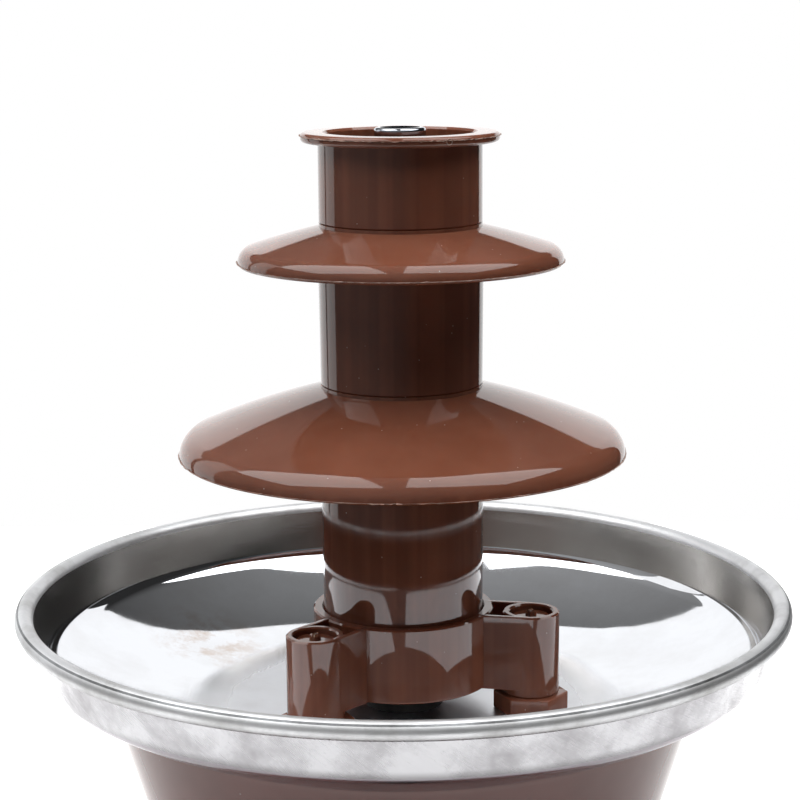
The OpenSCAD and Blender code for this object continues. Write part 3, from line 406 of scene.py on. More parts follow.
@dataclass(frozen=True)
class BowlSteel(Finish):
    """Pressed stainless steel with the gloss, waves and scratches of one zone of the bowl.

    Scratches run along the larger sizes of scratch_size, turned by scratch_turn radians.
    """

    stain: str
    rough: tuple[float, float]
    wave_size: float
    wave_height: float
    scratch_size: tuple[float, float, float]
    scratch_height: float
    scratch_turn: float = 0.0
    cloud_size: float = 14.0
    cloud_stops: tuple[float, float] = (0.42, 0.72)
    dull_band: tuple[float, float] = (0.12, 0.42)
    ring_height: float = 0.0
    ring_spacing: float = 6.0
    ring_wander: float = 2.0
    worn_radius: float = 36.0
    worn_edge: float = 1.4
    worn_rough: float = 0.0
    smudge: tuple[float, float, float] = (-48.0, 35.0, 106.0)
    smudge_size: float = 17.0
    smudge_grain: float = 6.0
    smudge_band: tuple[float, float] = (0.46, 0.66)
    smudge_share: float = 0.0
    smudge_colour: str = "#a98a6c"

    def nodes(self, tree: bpy.types.NodeTree, shader: bpy.types.Node) -> None:
        """Adds clouds of wear, a smudge, scratches, a dull middle and the press's waves and rings.

        Args:
            tree: Node tree of the material.
            shader: Its shader.
        """
        shader.inputs["Metallic"].default_value = 1.0
        place = add_node(tree, "ShaderNodeTexCoord").outputs["Object"]
        # Clouds of wear: duller and a little darker where the steel was handled
        cloud = add_node(tree, "ShaderNodeTexNoise",
                         {"Vector": place, "Scale": 1 / (self.cloud_size * MM), "Detail": 5.0,
                          "Roughness": 0.6})
        tone = add_node(tree, "ShaderNodeValToRGB", {"Fac": cloud.outputs["Fac"]},
                        list(zip(self.cloud_stops, (self.colour, self.stain))))
        tree.links.new(self.smudged(tree, place, tone.outputs["Color"]), shader.inputs["Base Color"])
        # Hairline scratches: noise drawn out along one direction, and wider than real ones so that they show
        across = add_node(tree, "ShaderNodeMapping",
                          {"Vector": place, "Rotation": (0.0, self.scratch_turn, 0.0)})
        drawn = add_node(tree, "ShaderNodeMapping",
                         {"Vector": across.outputs["Vector"],
                          "Scale": [1 / (size * MM) for size in self.scratch_size]})
        scratch = add_node(tree, "ShaderNodeTexNoise",
                           {"Vector": drawn.outputs["Vector"], "Scale": 1.0, "Detail": 6.0,
                            "Roughness": 0.7})
        both = add_node(tree, "ShaderNodeMath",
                        {0: cloud.outputs["Fac"], 1: scratch.outputs["Fac"]}, operation="MULTIPLY")
        dull = add_node(tree, "ShaderNodeMapRange",
                        {"Value": both.outputs[0], "From Min": self.dull_band[0],
                         "From Max": self.dull_band[1], "To Min": self.rough[0], "To Max": self.rough[1]})
        # The middle is rubbed dull where the tower is set down and the bowl is wiped
        level = add_node(tree, "ShaderNodeVectorMath", {0: place, 1: (1.0, 1.0, 0.0)}, operation="MULTIPLY")
        radius = add_node(tree, "ShaderNodeVectorMath", {0: level.outputs["Vector"]}, operation="LENGTH")
        worn = add_node(tree, "ShaderNodeMapRange",
                        {"Value": radius.outputs["Value"],
                         "From Min": self.worn_edge * self.worn_radius * MM,
                         "From Max": self.worn_radius * MM, "To Max": self.worn_rough})
        gloss = add_node(tree, "ShaderNodeMath",
                         {0: dull.outputs["Result"], 1: worn.outputs["Result"]}, operation="ADD")
        tree.links.new(gloss.outputs[0], shader.inputs["Roughness"])
        # Faint rings round the axis and slow waves, both left by the press, lie under the scratches
        wave = add_node(tree, "ShaderNodeTexNoise",
                        {"Vector": place, "Scale": 1 / (self.wave_size * MM), "Detail": 1.0})
        wander = add_node(tree, "ShaderNodeMath",
                          {0: wave.outputs["Fac"], 1: self.ring_wander * MM, 2: radius.outputs["Value"]},
                          operation="MULTIPLY_ADD")
        ring = add_node(tree, "ShaderNodeTexNoise",
                        {"W": wander.outputs[0], "Scale": 1 / (self.ring_spacing * MM), "Detail": 1.0},
                        noise_dimensions="1D")
        ringed = add_node(tree, "ShaderNodeBump",
                          {"Height": ring.outputs["Fac"], "Distance": self.ring_height * MM})
        waved = add_node(tree, "ShaderNodeBump",
                         {"Height": wave.outputs["Fac"], "Distance": self.wave_height * MM,
                          "Normal": ringed.outputs["Normal"]})
        scratched = add_node(tree, "ShaderNodeBump",
                             {"Height": scratch.outputs["Fac"], "Distance": self.scratch_height * MM,
                              "Normal": waved.outputs["Normal"]})
        tree.links.new(scratched.outputs["Normal"], shader.inputs["Normal"])

    def smudged(self, tree: bpy.types.NodeTree, place: bpy.types.NodeSocket,
                colour: bpy.types.NodeSocket) -> bpy.types.NodeSocket:
        """Adds a dried smudge of chocolate, patchy and thinning out round its middle.

        Args:
            tree: Node tree of the material.
            place: Object coordinates.
            colour: Colour under the smudge.

        Returns:
            The colour with the smudge.
        """
        reach = add_node(tree, "ShaderNodeVectorMath",
                         {0: place, 1: [size * MM for size in self.smudge]}, operation="DISTANCE")
        inside = add_node(tree, "ShaderNodeMapRange",
                          {"Value": reach.outputs["Value"], "From Min": self.smudge_size * MM,
                           "From Max": self.smudge_size * MM / 4, "To Max": self.smudge_share})
        patch = add_node(tree, "ShaderNodeTexNoise",
                         {"Vector": place, "Scale": 1 / (self.smudge_grain * MM), "Detail": 7.0,
                          "Roughness": 0.65})
        patchy = add_node(tree, "ShaderNodeMapRange",
                          {"Value": patch.outputs["Fac"], "From Min": self.smudge_band[0],
                           "From Max": self.smudge_band[1]})
        smeared = add_node(tree, "ShaderNodeMath",
                           {0: inside.outputs["Result"], 1: patchy.outputs["Result"]}, operation="MULTIPLY")
        stained = add_node(tree, "ShaderNodeMixRGB",
                           {"Fac": smeared.outputs[0], "Color1": colour,
                            "Color2": linear(self.smudge_colour)})
        return stained.outputs["Color"]


# Moulded polypropylene: glossy brown that glows a little, with dark streaks painted down its steep faces as
# reflection stripes and shade
CHOCOLATE = MouldedPlastic("chocolate_gloss_polypropylene", "#7f4f3d", "#744634", "#d6c4b8",
                           painted_streak_share=0.2, glow_share=0.5)
# Torn flash of the same plastic: paler and dull, because its thin edge is stretched and uneven
FLASH = MouldedPlastic("chocolate_torn_flash", "#a98d80", "#8f6c5c", "#d8cbc2", gloss=(0.35, 0.5))
# Moulded ABS: a harder, redder brown with clean gloss and little dust
HOUSING = MouldedPlastic("housing_gloss_abs", "#7c4a42", "#724239", "#bfaea6",
                         gloss=(0.04, 0.08), dust_share=0.1)
# Moulded ABS with a satin skin: black with broad, soft highlights
BLACK = MouldedPlastic("control_black_satin_abs", "#1d1c1c", "#242322", "#565350",
                       gloss=(0.38, 0.5), dust_share=0.05)
# Moulded natural nylon: waxy off-white with soft highlights
NYLON = MouldedPlastic("gear_natural_nylon", "#e2ddcf", "#d7d1c0", "#f2efe6",
                       gloss=(0.4, 0.5), dust_share=0.0)
# Lacquered glass-fibre laminate: even green with a half gloss
BOARD = MouldedPlastic("board_green_laminate", "#2e6a3e", "#2a5f38", "#c8c29a",
                       gloss=(0.3, 0.4), dust_share=0.3)
# Steel ground and polished in a lathe: tight reflections with faint rings round the axis
POLISHED = Metal("auger_polished_steel", "#a4a8b0", rough=(0.05, 0.12), grain=(6.0, 6.0, 0.5),
                 grain_height=0.001)
# Zinc-plated steel: grey sheen broken by the fine grain of the plating
ZINC = Metal("fastener_zinc_plated_steel", "#a7a9a8", rough=(0.28, 0.42))
# Cast aluminium: pale and matt, with the mould's grain in its relief
ALUMINIUM = Metal("heater_cast_aluminium", "#a5a7a9", rough=(0.4, 0.55), grain=(0.8, 0.8, 0.8),
                  grain_height=0.02)
# Sintered bronze: warm and half dull, from the pores between its grains
BRONZE = Metal("bush_sintered_bronze", "#a87a45", rough=(0.32, 0.45))
# Moulded rubber: matt black with a grey bloom
RUBBER = Rubber("seal_black_rubber", "#191817")

BOWL_STEEL = {
    # Polished floor: a mirror that slow waves and faint rings bend, rubbed dull in the middle
    BowlZone.FLOOR: BowlSteel(
        BowlZone.FLOOR.value, "#dcdee2", "#d4d5d8", rough=(0.02, 0.07), wave_size=26.0, wave_height=0.05,
        scratch_turn=0.6, scratch_size=(0.5, 20.0, 20.0), scratch_height=0.001, ring_height=0.02,
        worn_rough=0.34, smudge_share=0.55),
    # Satin wall: reflections blurred by fine lines round it
    BowlZone.WALL: BowlSteel(
        BowlZone.WALL.value, "#b8b5b1", "#aca8a4", rough=(0.14, 0.22), wave_size=30.0, wave_height=0.02,
        scratch_size=(12.0, 12.0, 0.3), scratch_height=0.004),
    # Rolled bead worn by handling: pale, dull and mottled
    BowlZone.BEAD: BowlSteel(
        BowlZone.BEAD.value, "#d9dadc", "#b4b4b4", rough=(0.4, 0.62), wave_size=3.0, wave_height=0.03,
        scratch_size=(0.6, 0.6, 0.4), scratch_height=0.012),
    # Pitted line along the top of the bead: dark, rough specks
    BowlZone.CREST: BowlSteel(
        BowlZone.CREST.value, "#8d8f91", "#4e4e4e", rough=(0.4, 0.7), wave_size=1.2, wave_height=0.2,
        scratch_size=(0.3, 0.3, 0.3), scratch_height=0.12),
    # Scuffed outside: uneven gloss under slanting scratches
    BowlZone.OUTSIDE: BowlSteel(
        BowlZone.OUTSIDE.value, "#bcbcbf", "#918f92", rough=(0.18, 0.4), wave_size=16.0, wave_height=0.03,
        scratch_turn=0.9, scratch_size=(0.35, 9.0, 9.0), scratch_height=0.014),
    # Drawn underside: half gloss with fine lines round it
    BowlZone.UNDER: BowlSteel(
        BowlZone.UNDER.value, "#c3bfc6", "#b5aeb6", rough=(0.16, 0.26), wave_size=20.0, wave_height=0.02,
        scratch_size=(6.0, 6.0, 0.5), scratch_height=0.002),
}

SLOT_FINISH: dict[Slot, Finish] = {
    Slot.CHOCOLATE: CHOCOLATE,
    Slot.HOUSING: HOUSING,
    Slot.BOWL: BOWL_STEEL[BowlZone.OUTSIDE],
    Slot.POLISHED: POLISHED,
    Slot.ZINC: ZINC,
    Slot.HEATER: ALUMINIUM,
    Slot.BRONZE: BRONZE,
    Slot.NYLON: NYLON,
    Slot.BLACK: BLACK,
    Slot.RUBBER: RUBBER,
    Slot.BOARD: BOARD,
}


def arc(centre: tuple[float, float], radius: float, start: float, end: float,
        steps: int = ARC_STEPS) -> Outline:
    """Gives the points of an arc.

    Args:
        centre: Centre as radius from the axis and height.
        radius: Radius of the arc.
        start: First angle in degrees, from outward towards up.
        end: Last angle in degrees.
        steps: Number of steps along the arc.

    Returns:
        Points from the first angle to the last.
    """
    turns = [math.radians(start + (end - start) * i / steps) for i in range(steps + 1)]
    return [(centre[0] + radius * math.cos(a), centre[1] + radius * math.sin(a)) for a in turns]


def corner(before: tuple[float, float], at: tuple[float, float], after: tuple[float, float],
           radius: float, out: float) -> Outline:
    """Gives the points of a rounded corner of an outline.

    Args:
        before: Point from which the outline comes.
        at: Corner to round.
        after: Point to which the outline goes on.
        radius: Radius of the rounding.
        out: Distance by which the face is moved to the right of the way.

    Returns:
        Points along the rounding.
    """
    come = math.atan2(at[1] - before[1], at[0] - before[0])
    go = math.atan2(after[1] - at[1], after[0] - at[0])
    side = math.copysign(1.0, go - come)
    middle, reach = (come + go) / 2, side * radius / math.cos((go - come) / 2)
    centre = (at[0] - reach * math.sin(middle), at[1] + reach * math.cos(middle))
    return arc(centre, radius + side * out, math.degrees(come) - side * 90, math.degrees(go) - side * 90)


def only(obj: bpy.types.Object) -> None:
    """Selects one object alone and makes it active.

    Args:
        obj: Object to select.
    """
    bpy.ops.object.select_all(action="DESELECT")
    obj.select_set(True)
    bpy.context.view_layer.objects.active = obj


def fresh(name: str) -> bpy.types.Object:
    """Names the object that a primitive operator has just added.

    Args:
        name: Name of the object and its mesh.

    Returns:
        The object.
    """
    obj = bpy.context.object
    obj.name = name
    obj.data.name = name
    return obj


def turned(name: str, outline: Outline, steps: int = TURN_STEPS) -> bpy.types.Object:
    """Draws an outline as a chain of edges and spins it round the Z axis.

    Args:
        name: Name of the object.
        outline: Radii and heights; it is closed unless it starts on the axis.
        steps: Steps round the full turn.

    Returns:
        The turned solid.
    """
    bpy.ops.object.select_all(action="DESELECT")
    bpy.ops.mesh.primitive_plane_add(size=MM)
    obj = fresh(name)
    bpy.ops.object.mode_set(mode="EDIT")
    bpy.ops.mesh.select_all(action="SELECT")
    bpy.ops.mesh.merge(type="CENTER")
    path = [Vector((radius, 0.0, height)) * MM for radius, height in outline]
    if outline[0][0] > 0:
        path.append(path[0])
    bpy.ops.transform.translate(value=path[0])
    for last, point in zip(path, path[1:]):
        bpy.ops.mesh.extrude_vertices_move(TRANSFORM_OT_translate={"value": point - last})
    bpy.ops.mesh.select_all(action="SELECT")
    bpy.ops.mesh.remove_doubles(threshold=WELD)
    bpy.ops.mesh.spin(steps=steps, angle=math.tau, center=(0, 0, 0), axis=(0, 0, 1))
    bpy.ops.mesh.select_all(action="SELECT")
    bpy.ops.mesh.remove_doubles(threshold=WELD)
    bpy.ops.mesh.normals_make_consistent(inside=False)
    bpy.ops.object.mode_set(mode="OBJECT")
    return obj


def smooth(obj: bpy.types.Object, degrees: float = 32.0) -> None:
    """Shades an object smooth except across edges sharper than an angle."""
    only(obj)
    bpy.ops.object.shade_smooth_by_angle(angle=math.radians(degrees))


def moved(obj: bpy.types.Object, place: Matrix) -> None:
    """Puts an object's mesh in its place and leaves the object at the origin.

    Args:
        obj: Object to move.
        place: Place, turn and size that its mesh takes.
    """
    obj.matrix_world = place
    only(obj)
    bpy.ops.object.transform_apply(location=True, rotation=True, scale=True)


def block(name: str, place: Matrix) -> bpy.types.Object:
    """Adds a cube of one millimetre and puts it in its place.

    Args:
        name: Name of the object.
        place: Place, turn and size in millimetres of the block.

    Returns:
        The block.
    """
    bpy.ops.object.select_all(action="DESELECT")
    bpy.ops.mesh.primitive_cube_add(size=MM)
    obj = fresh(name)
    moved(obj, place)
    return obj


def panel(name: str, place: Matrix, size: float = 1.0) -> bpy.types.Object:
    """Adds a flat square and puts it in its place.

    Args:
        name: Name of the object.
        place: Place, turn and size of the panel, in units of its side.
        size: Side in metres before it is put in its place.

    Returns:
        The panel.
    """
    bpy.ops.object.select_all(action="DESELECT")
    bpy.ops.mesh.primitive_plane_add(size=size)
    obj = fresh(name)
    moved(obj, place)
    return obj


def combine(base: bpy.types.Object, tool: bpy.types.Object, how: Join) -> None:
    """Adds one solid to another, cuts it out or keeps what they share, and removes the second one.

    Args:
        base: Solid that stays.
        tool: Solid that it is combined with.
        how: Way in which they are combined.
    """
    only(base)
    bpy.ops.object.modifier_add(type="BOOLEAN")
    modifier = base.modifiers[-1]
    modifier.operation = how.value
    modifier.solver = "EXACT"
    modifier.object = tool
    bpy.ops.object.modifier_apply(modifier=modifier.name)
    bpy.data.objects.remove(tool)


def soften(obj: bpy.types.Object, width: float, sharper_than: float = 40.0) -> None:
    """Rounds the sharp edges of an object.

    Args:
        obj: Object to round.
        width: Width of the rounding.
        sharper_than: Angle in degrees above which an edge is rounded.
    """
    only(obj)
    bpy.ops.object.modifier_add(type="BEVEL")
    modifier = obj.modifiers[-1]
    modifier.width = width * MM
    modifier.segments = BEVEL_STEPS
    modifier.limit_method = "ANGLE"
    modifier.angle_limit = math.radians(sharper_than)
    bpy.ops.object.modifier_apply(modifier=modifier.name)


def roughen(obj: bpy.types.Object, test: Callable[[float, float], bool], amount: float, seed: int) -> None:
    """Moves the vertices that pass a test by random amounts, as torn plastic is uneven.

    Args:
        obj: Object to roughen.
        test: Takes a vertex's radius and height in millimetres.
        amount: Largest move.
        seed: Seed of the random moves.
    """
    only(obj)
    bpy.ops.object.mode_set(mode="EDIT")
    bpy.ops.mesh.select_mode(type="VERT")
    bpy.ops.mesh.select_all(action="DESELECT")
    bpy.ops.object.mode_set(mode="OBJECT")
    for vertex in obj.data.vertices:
        place = vertex.co / MM
        vertex.select = test(math.hypot(place.x, place.y), place.z)
    bpy.ops.object.mode_set(mode="EDIT")
    bpy.ops.transform.vertex_random(offset=amount * MM, seed=seed)
    bpy.ops.object.mode_set(mode="OBJECT")


def coat(obj: bpy.types.Object, finish: Finish,
         test: Callable[[Vector, Vector], bool] | None = None) -> None:
    """Gives an object a material, or only those of its faces that pass a test.

    Args:
        obj: Object to coat.
        finish: Finish of the material.
        test: Takes a face's centre in millimetres and its normal.
    """
    obj.data.materials.append(finish.make())
    if test is None:
        return
    index = len(obj.data.materials) - 1
    for face in obj.data.polygons:
        if test(face.center / MM, face.normal):
            face.material_index = index


def tear_flash(obj: bpy.types.Object, rim: float, seed: int) -> None:
    """Tears the flash that stands out past a rim, and coats the moulding and its flash.

    Args:
        obj: Moulding with a thin ridge of flash.
        rim: Radius of the rim.
        seed: Seed of the random tears.
    """
    roughen(obj, lambda radius, _: radius > rim + FLASH_START, FLASH_TEAR, seed)
    smooth(obj)
    coat(obj, CHOCOLATE)
    coat(obj, FLASH, lambda face, _: math.hypot(face.x, face.y) > rim + FLASH_SEEN)


def seat(obj: bpy.types.Object, body: str, slot: Slot, *nodes: str) -> None:
    """Puts a finished piece into the frame.

    Args:
        obj: Piece to put in.
        body: Body that the piece moves with.
        slot: Material slot of the record; not used.
        nodes: CAD nodes that the piece stands in for.
    """
    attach(obj, body)
    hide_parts(*nodes)
    LOG.info("%s on %s, %d faces", obj.name, body, len(obj.data.polygons))


@dataclass(frozen=True)
class Tube:
    """Section of the tower's tubes."""

    outer: float = 18.1
    wall: float = 1.6
    draft: float = 0.3
    spigot_height: float = 6.0
    spigot_wall: float = 0.75
    socket_gap: float = 0.1
    chamfer: float = 0.35

    @property
    def bore(self) -> float:
        """Radius of the bore."""
        return self.outer - self.wall

    @property
    def spigot(self) -> float:
        """Radius of the spigot."""
        return self.bore + self.spigot_wall

    @property
    def socket(self) -> float:
        """Radius of the socket that takes a spigot."""
        return self.spigot + self.socket_gap

    def spigot_end(self, seam: float) -> Outline:
        """Gives the lower end of a tube that drops into a socket.

        Args:
            seam: Height of the seam on top of the socket.

        Returns:
            Points from the bore outward and up.
        """
        foot = seam - self.spigot_height
        return [(self.bore, foot), (self.spigot, foot), (self.spigot, seam),
                (self.outer - self.chamfer, seam), (self.outer, seam + self.chamfer)]


@dataclass(frozen=True)
class Tier:
    """One dish of the tower with the tube under it, as one moulding with flash on its rim."""

    name: str
    body: str
    node: str
    seam: float
    rim: float
    neck_slope: float
    edge_slope: float
    rounding: float
    tube: Tube
    seed: int
    thickness: float = 1.4
    neck_height: float = 0.7
    lip: float = 0.35
    lip_share: float = 0.9
    flash_reach: float = 0.2
    flash_half: float = 0.07

    @property
    def span(self) -> float:
        """Radius of the dish's long arc.

        Returns:
            The radius at which the arc meets the neck and the rounding at their slopes.
        """
        slopes = math.sin(math.radians(self.edge_slope)) - math.sin(math.radians(self.neck_slope))
        run = self.rim - self.rounding * (1 - math.sin(math.radians(self.edge_slope))) - self.tube.outer
        return run / slopes

    @property
    def edge_height(self) -> float:
        """Height of the lower edge of the rim.

        Returns:
            The height at which the rounding ends.
        """
        neck, edge = math.radians(self.neck_slope), math.radians(self.edge_slope)
        drop = self.span * (math.cos(neck) - math.cos(edge)) + self.rounding * math.cos(edge)
        return self.seam - self.neck_height - drop

    def curve(self, inset: float, start_slope: float) -> Outline:
        """Gives a face of the dish from its neck to its rim.

        Args:
            inset: Distance of the face inside the outer face.
            start_slope: Slope in degrees at which the face leaves the neck.

        Returns:
            Points from the neck to the rim.
        """
        neck = math.radians(self.neck_slope)
        top = self.seam - self.neck_height
        long_centre = (self.tube.outer - self.span * math.sin(neck), top - self.span * math.cos(neck))
        round_centre = (self.rim - self.rounding, self.edge_height)
        return (arc(long_centre, self.span - inset, 90 - start_slope, 90 - self.edge_slope)[:-1]
                + arc(round_centre, self.rounding - inset, 90 - self.edge_slope, 0))

    def build(self, tube_foot: Outline) -> None:
        """Builds the tier on the lower end of its tube.

        Args:
            tube_foot: Outline of the tube's lower end, from its bore outward and up.
        """
        tube = self.tube
        top_radius = tube.outer + tube.draft
        neck = math.radians(self.neck_slope)
        under_slope = math.degrees(math.asin(
            (top_radius - tube.outer + self.span * math.sin(neck)) / (self.span - self.thickness)))
        edge, tip = self.edge_height, self.rim + self.flash_reach
        floor = self.seam - tube.spigot_height
        outline = (tube_foot + self.curve(self.thickness, under_slope)
                   + [(self.rim - self.lip_share * self.thickness, edge - self.lip),
                      (self.rim - self.lip / 2, edge - self.lip),
                      (self.rim - self.lip / 8, edge - self.lip / 2), (self.rim, edge - self.flash_half),
                      (tip, edge - self.flash_half), (tip, edge)]
                   + self.curve(0.0, self.neck_slope)[::-1]
                   + [(tube.outer, self.seam), (tube.socket, self.seam),
                      (tube.socket, floor), (tube.bore, floor)])
        obj = turned(self.name, outline)
        tear_flash(obj, self.rim, self.seed)
        seat(obj, self.body, Slot.CHOCOLATE, self.node)


@dataclass(frozen=True)
class Crown:
    """Top tube with its flange, whose edge carries a torn flash line and a curl of flash."""

    tube: Tube
    seam: float = 214.25
    top: float = 234.1
    flange: float = 21.9
    flange_thickness: float = 2.2
    edge_round: float = 0.9
    flash_drop: float = 0.75
    flash_reach: float = 0.22
    flash_half: float = 0.06
    flash_seed: int = 4
    mouth_share: float = 1.5
    curl_turn: float = -62.0
    curl_radius: float = 0.65
    curl_thickness: float = 0.11
    curl_drop: float = 0.4
    curl_steps: tuple[int, int] = (24, 8)

    def build(self) -> None:
        """Builds the crown."""
        tube = self.tube
        mouth = tube.chamfer * self.mouth_share
        inner, tip = self.flange - self.edge_round, self.flange + self.flash_reach
        foot, flash = self.top - self.flange_thickness, self.top - self.flash_drop
        outline = (tube.spigot_end(self.seam) + [(tube.outer, foot)]
                   + arc((inner, foot + self.edge_round), self.edge_round, -90, 0)
                   + [(self.flange, flash - self.flash_half), (tip, flash - self.flash_half),
                      (tip, flash + self.flash_half), (self.flange, flash + self.flash_half)]
                   + arc((inner, self.top - self.edge_round), self.edge_round, 0, 90)
                   + [(tube.bore + mouth, self.top), (tube.bore, self.top - mouth)])
        obj = turned("crown_moulding", outline)
        tear_flash(obj, self.flange, self.flash_seed)
        curl = self.curl(flash)
        only(obj)
        curl.select_set(True)
        bpy.ops.object.join()
        seat(obj, "crown", Slot.CHOCOLATE, "crown_tube")

    def curl(self, height: float) -> bpy.types.Object:
        """Makes the loop of torn flash that hangs from the flange.

        Args:
            height: Height of the flash line.

        Returns:
            The loop.
        """
        bpy.ops.object.select_all(action="DESELECT")
        bpy.ops.mesh.primitive_torus_add(
            major_radius=self.curl_radius * MM, minor_radius=self.curl_thickness * MM,
            major_segments=self.curl_steps[0], minor_segments=self.curl_steps[1])
        loop = fresh("flash_curl")
        middle = Vector((self.flange + self.curl_thickness, 0, height - self.curl_radius * self.curl_drop))
        moved(loop, Matrix.Rotation(math.radians(self.curl_turn), 4, "Z")
              @ Matrix.Translation(middle * MM) @ Matrix.Rotation(math.radians(90), 4, "Y"))
        smooth(loop)
        coat(loop, FLASH)
        return loop


@dataclass(frozen=True)
class TowerFoot:
    """Collar of the tower with three socket ears, and the posts in the bowl that they drop over."""

    tube: Tube
    floor: float = 103.6
    collar_radius: float = 20.5
    collar_foot: float = 109.6
    seat_height: float = 118.5
    top: float = 126.7
    boss_circle: float = 29.4
    boss_radius: float = 6.4
    boss_bore: float = 4.8
    boss_foot: float = 107.75
    ear_thickness: float = 1.3
    ear_step: float = 0.15
    ear_start: float = 0.4
    ear_round: float = 0.2
    first_angle: float = -11.1
    post_radius: float = 4.5
    post_top: float = 125.5
    hex_radius: float = 8.5
    hex_turn: float = 35.7
    hex_round: float = 0.3
    nub_radius: float = 1.3
    nub_shape: tuple[tuple[float, float], ...] = ((1.0, 0.0), (0.8, 0.7), (0.4, 1.0), (0.0, 0.8))
    nub_tear: float = 0.35
    nub_tear_start: float = 0.3

    def places(self) -> list[Matrix]:
        """Gives the places of the three sockets."""
        return [Matrix.Rotation(math.radians(self.first_angle + 120 * i), 4, "Z")
                @ Matrix.Translation((self.boss_circle * MM, 0, 0)) for i in range(3)]

    def collar(self) -> bpy.types.Object:
        """Turns the collar with its seat for the lower tube.

        Returns:
            The collar.
        """
        tube = self.tube
        edge = tube.chamfer * 2
        seat_radius = tube.outer + tube.socket_gap
        outline = ([(tube.bore, self.collar_foot)]
                   + arc((self.collar_radius - edge, self.collar_foot + edge), edge, -90, 0)
                   + [(self.collar_radius, self.top - tube.chamfer),
                      (self.collar_radius - tube.chamfer, self.top),
                      (seat_radius + tube.chamfer, self.top), (seat_radius, self.top - tube.chamfer),
                      (seat_radius, self.seat_height), (tube.bore, self.seat_height)])
        return turned("foot_moulding", outline)

    def build(self) -> None:
        """Builds the foot and the three posts."""
        foot = self.collar()
        lip = self.tube.chamfer
        wall = self.boss_radius - self.ear_step - self.ear_thickness / 2
        length = self.boss_circle - (self.tube.outer + self.ear_start)
        height = self.top - self.collar_foot
        size = Matrix.Diagonal((length, self.ear_thickness, height, 1.0))
        for index, place in enumerate(self.places()):
            boss = turned(f"boss_{index}", [
                (self.boss_bore, self.boss_foot), (self.boss_radius - lip, self.boss_foot),
                (self.boss_radius, self.boss_foot + lip), (self.boss_radius, self.top - lip),
                (self.boss_radius - lip, self.top), (self.boss_bore + lip, self.top),
                (self.boss_bore, self.top - lip)], SMALL_STEPS)
            moved(boss, place)
            combine(foot, boss, Join.ADD)
            for side in (-1, 1):
                middle = Matrix.Translation(Vector((-length / 2, side * wall, self.top - height / 2)) * MM)
                ear = block("ear", place @ middle @ size)
                soften(ear, self.ear_round)
                combine(foot, ear, Join.ADD)
        smooth(foot)
        coat(foot, CHOCOLATE)
        seat(foot, "tower", Slot.CHOCOLATE, "tower_foot")
        for name, place in zip(("right", "rear", "left"), self.places()):
            self.post(name, place)

    def post(self, name: str, place: Matrix) -> None:
        """Builds one post: hexagon base, round shaft and the nub torn off its runner.

        Args:
            name: Side of the tower that the post is on.
            place: Place of the post.
        """
        lip = self.tube.chamfer
        nub = [(self.nub_radius * out, self.post_top + self.nub_radius * up) for out, up in self.nub_shape]
        shaft = turned(f"post_{name}_moulding", [
            (0.0, self.floor + lip), (self.post_radius, self.floor + lip),
            (self.post_radius, self.post_top - lip), (self.post_radius - lip, self.post_top),
            *nub], POST_STEPS)
        roughen(shaft, lambda _, height: height > self.post_top + self.nub_tear_start,
                self.nub_tear, len(name))
        bpy.ops.object.select_all(action="DESELECT")
        height = self.boss_foot - self.floor
        bpy.ops.mesh.primitive_cylinder_add(
            vertices=6, radius=self.hex_radius * MM, depth=height * MM,
            location=(0, 0, (self.floor + height / 2) * MM), rotation=(0, 0, math.radians(self.hex_turn)))
        base = fresh("hexagon")
        soften(base, self.hex_round)
        combine(shaft, base, Join.ADD)
        moved(shaft, place)
        smooth(shaft)
        coat(shaft, CHOCOLATE)
        seat(shaft, "base", Slot.CHOCOLATE, f"tower_post_{name}")


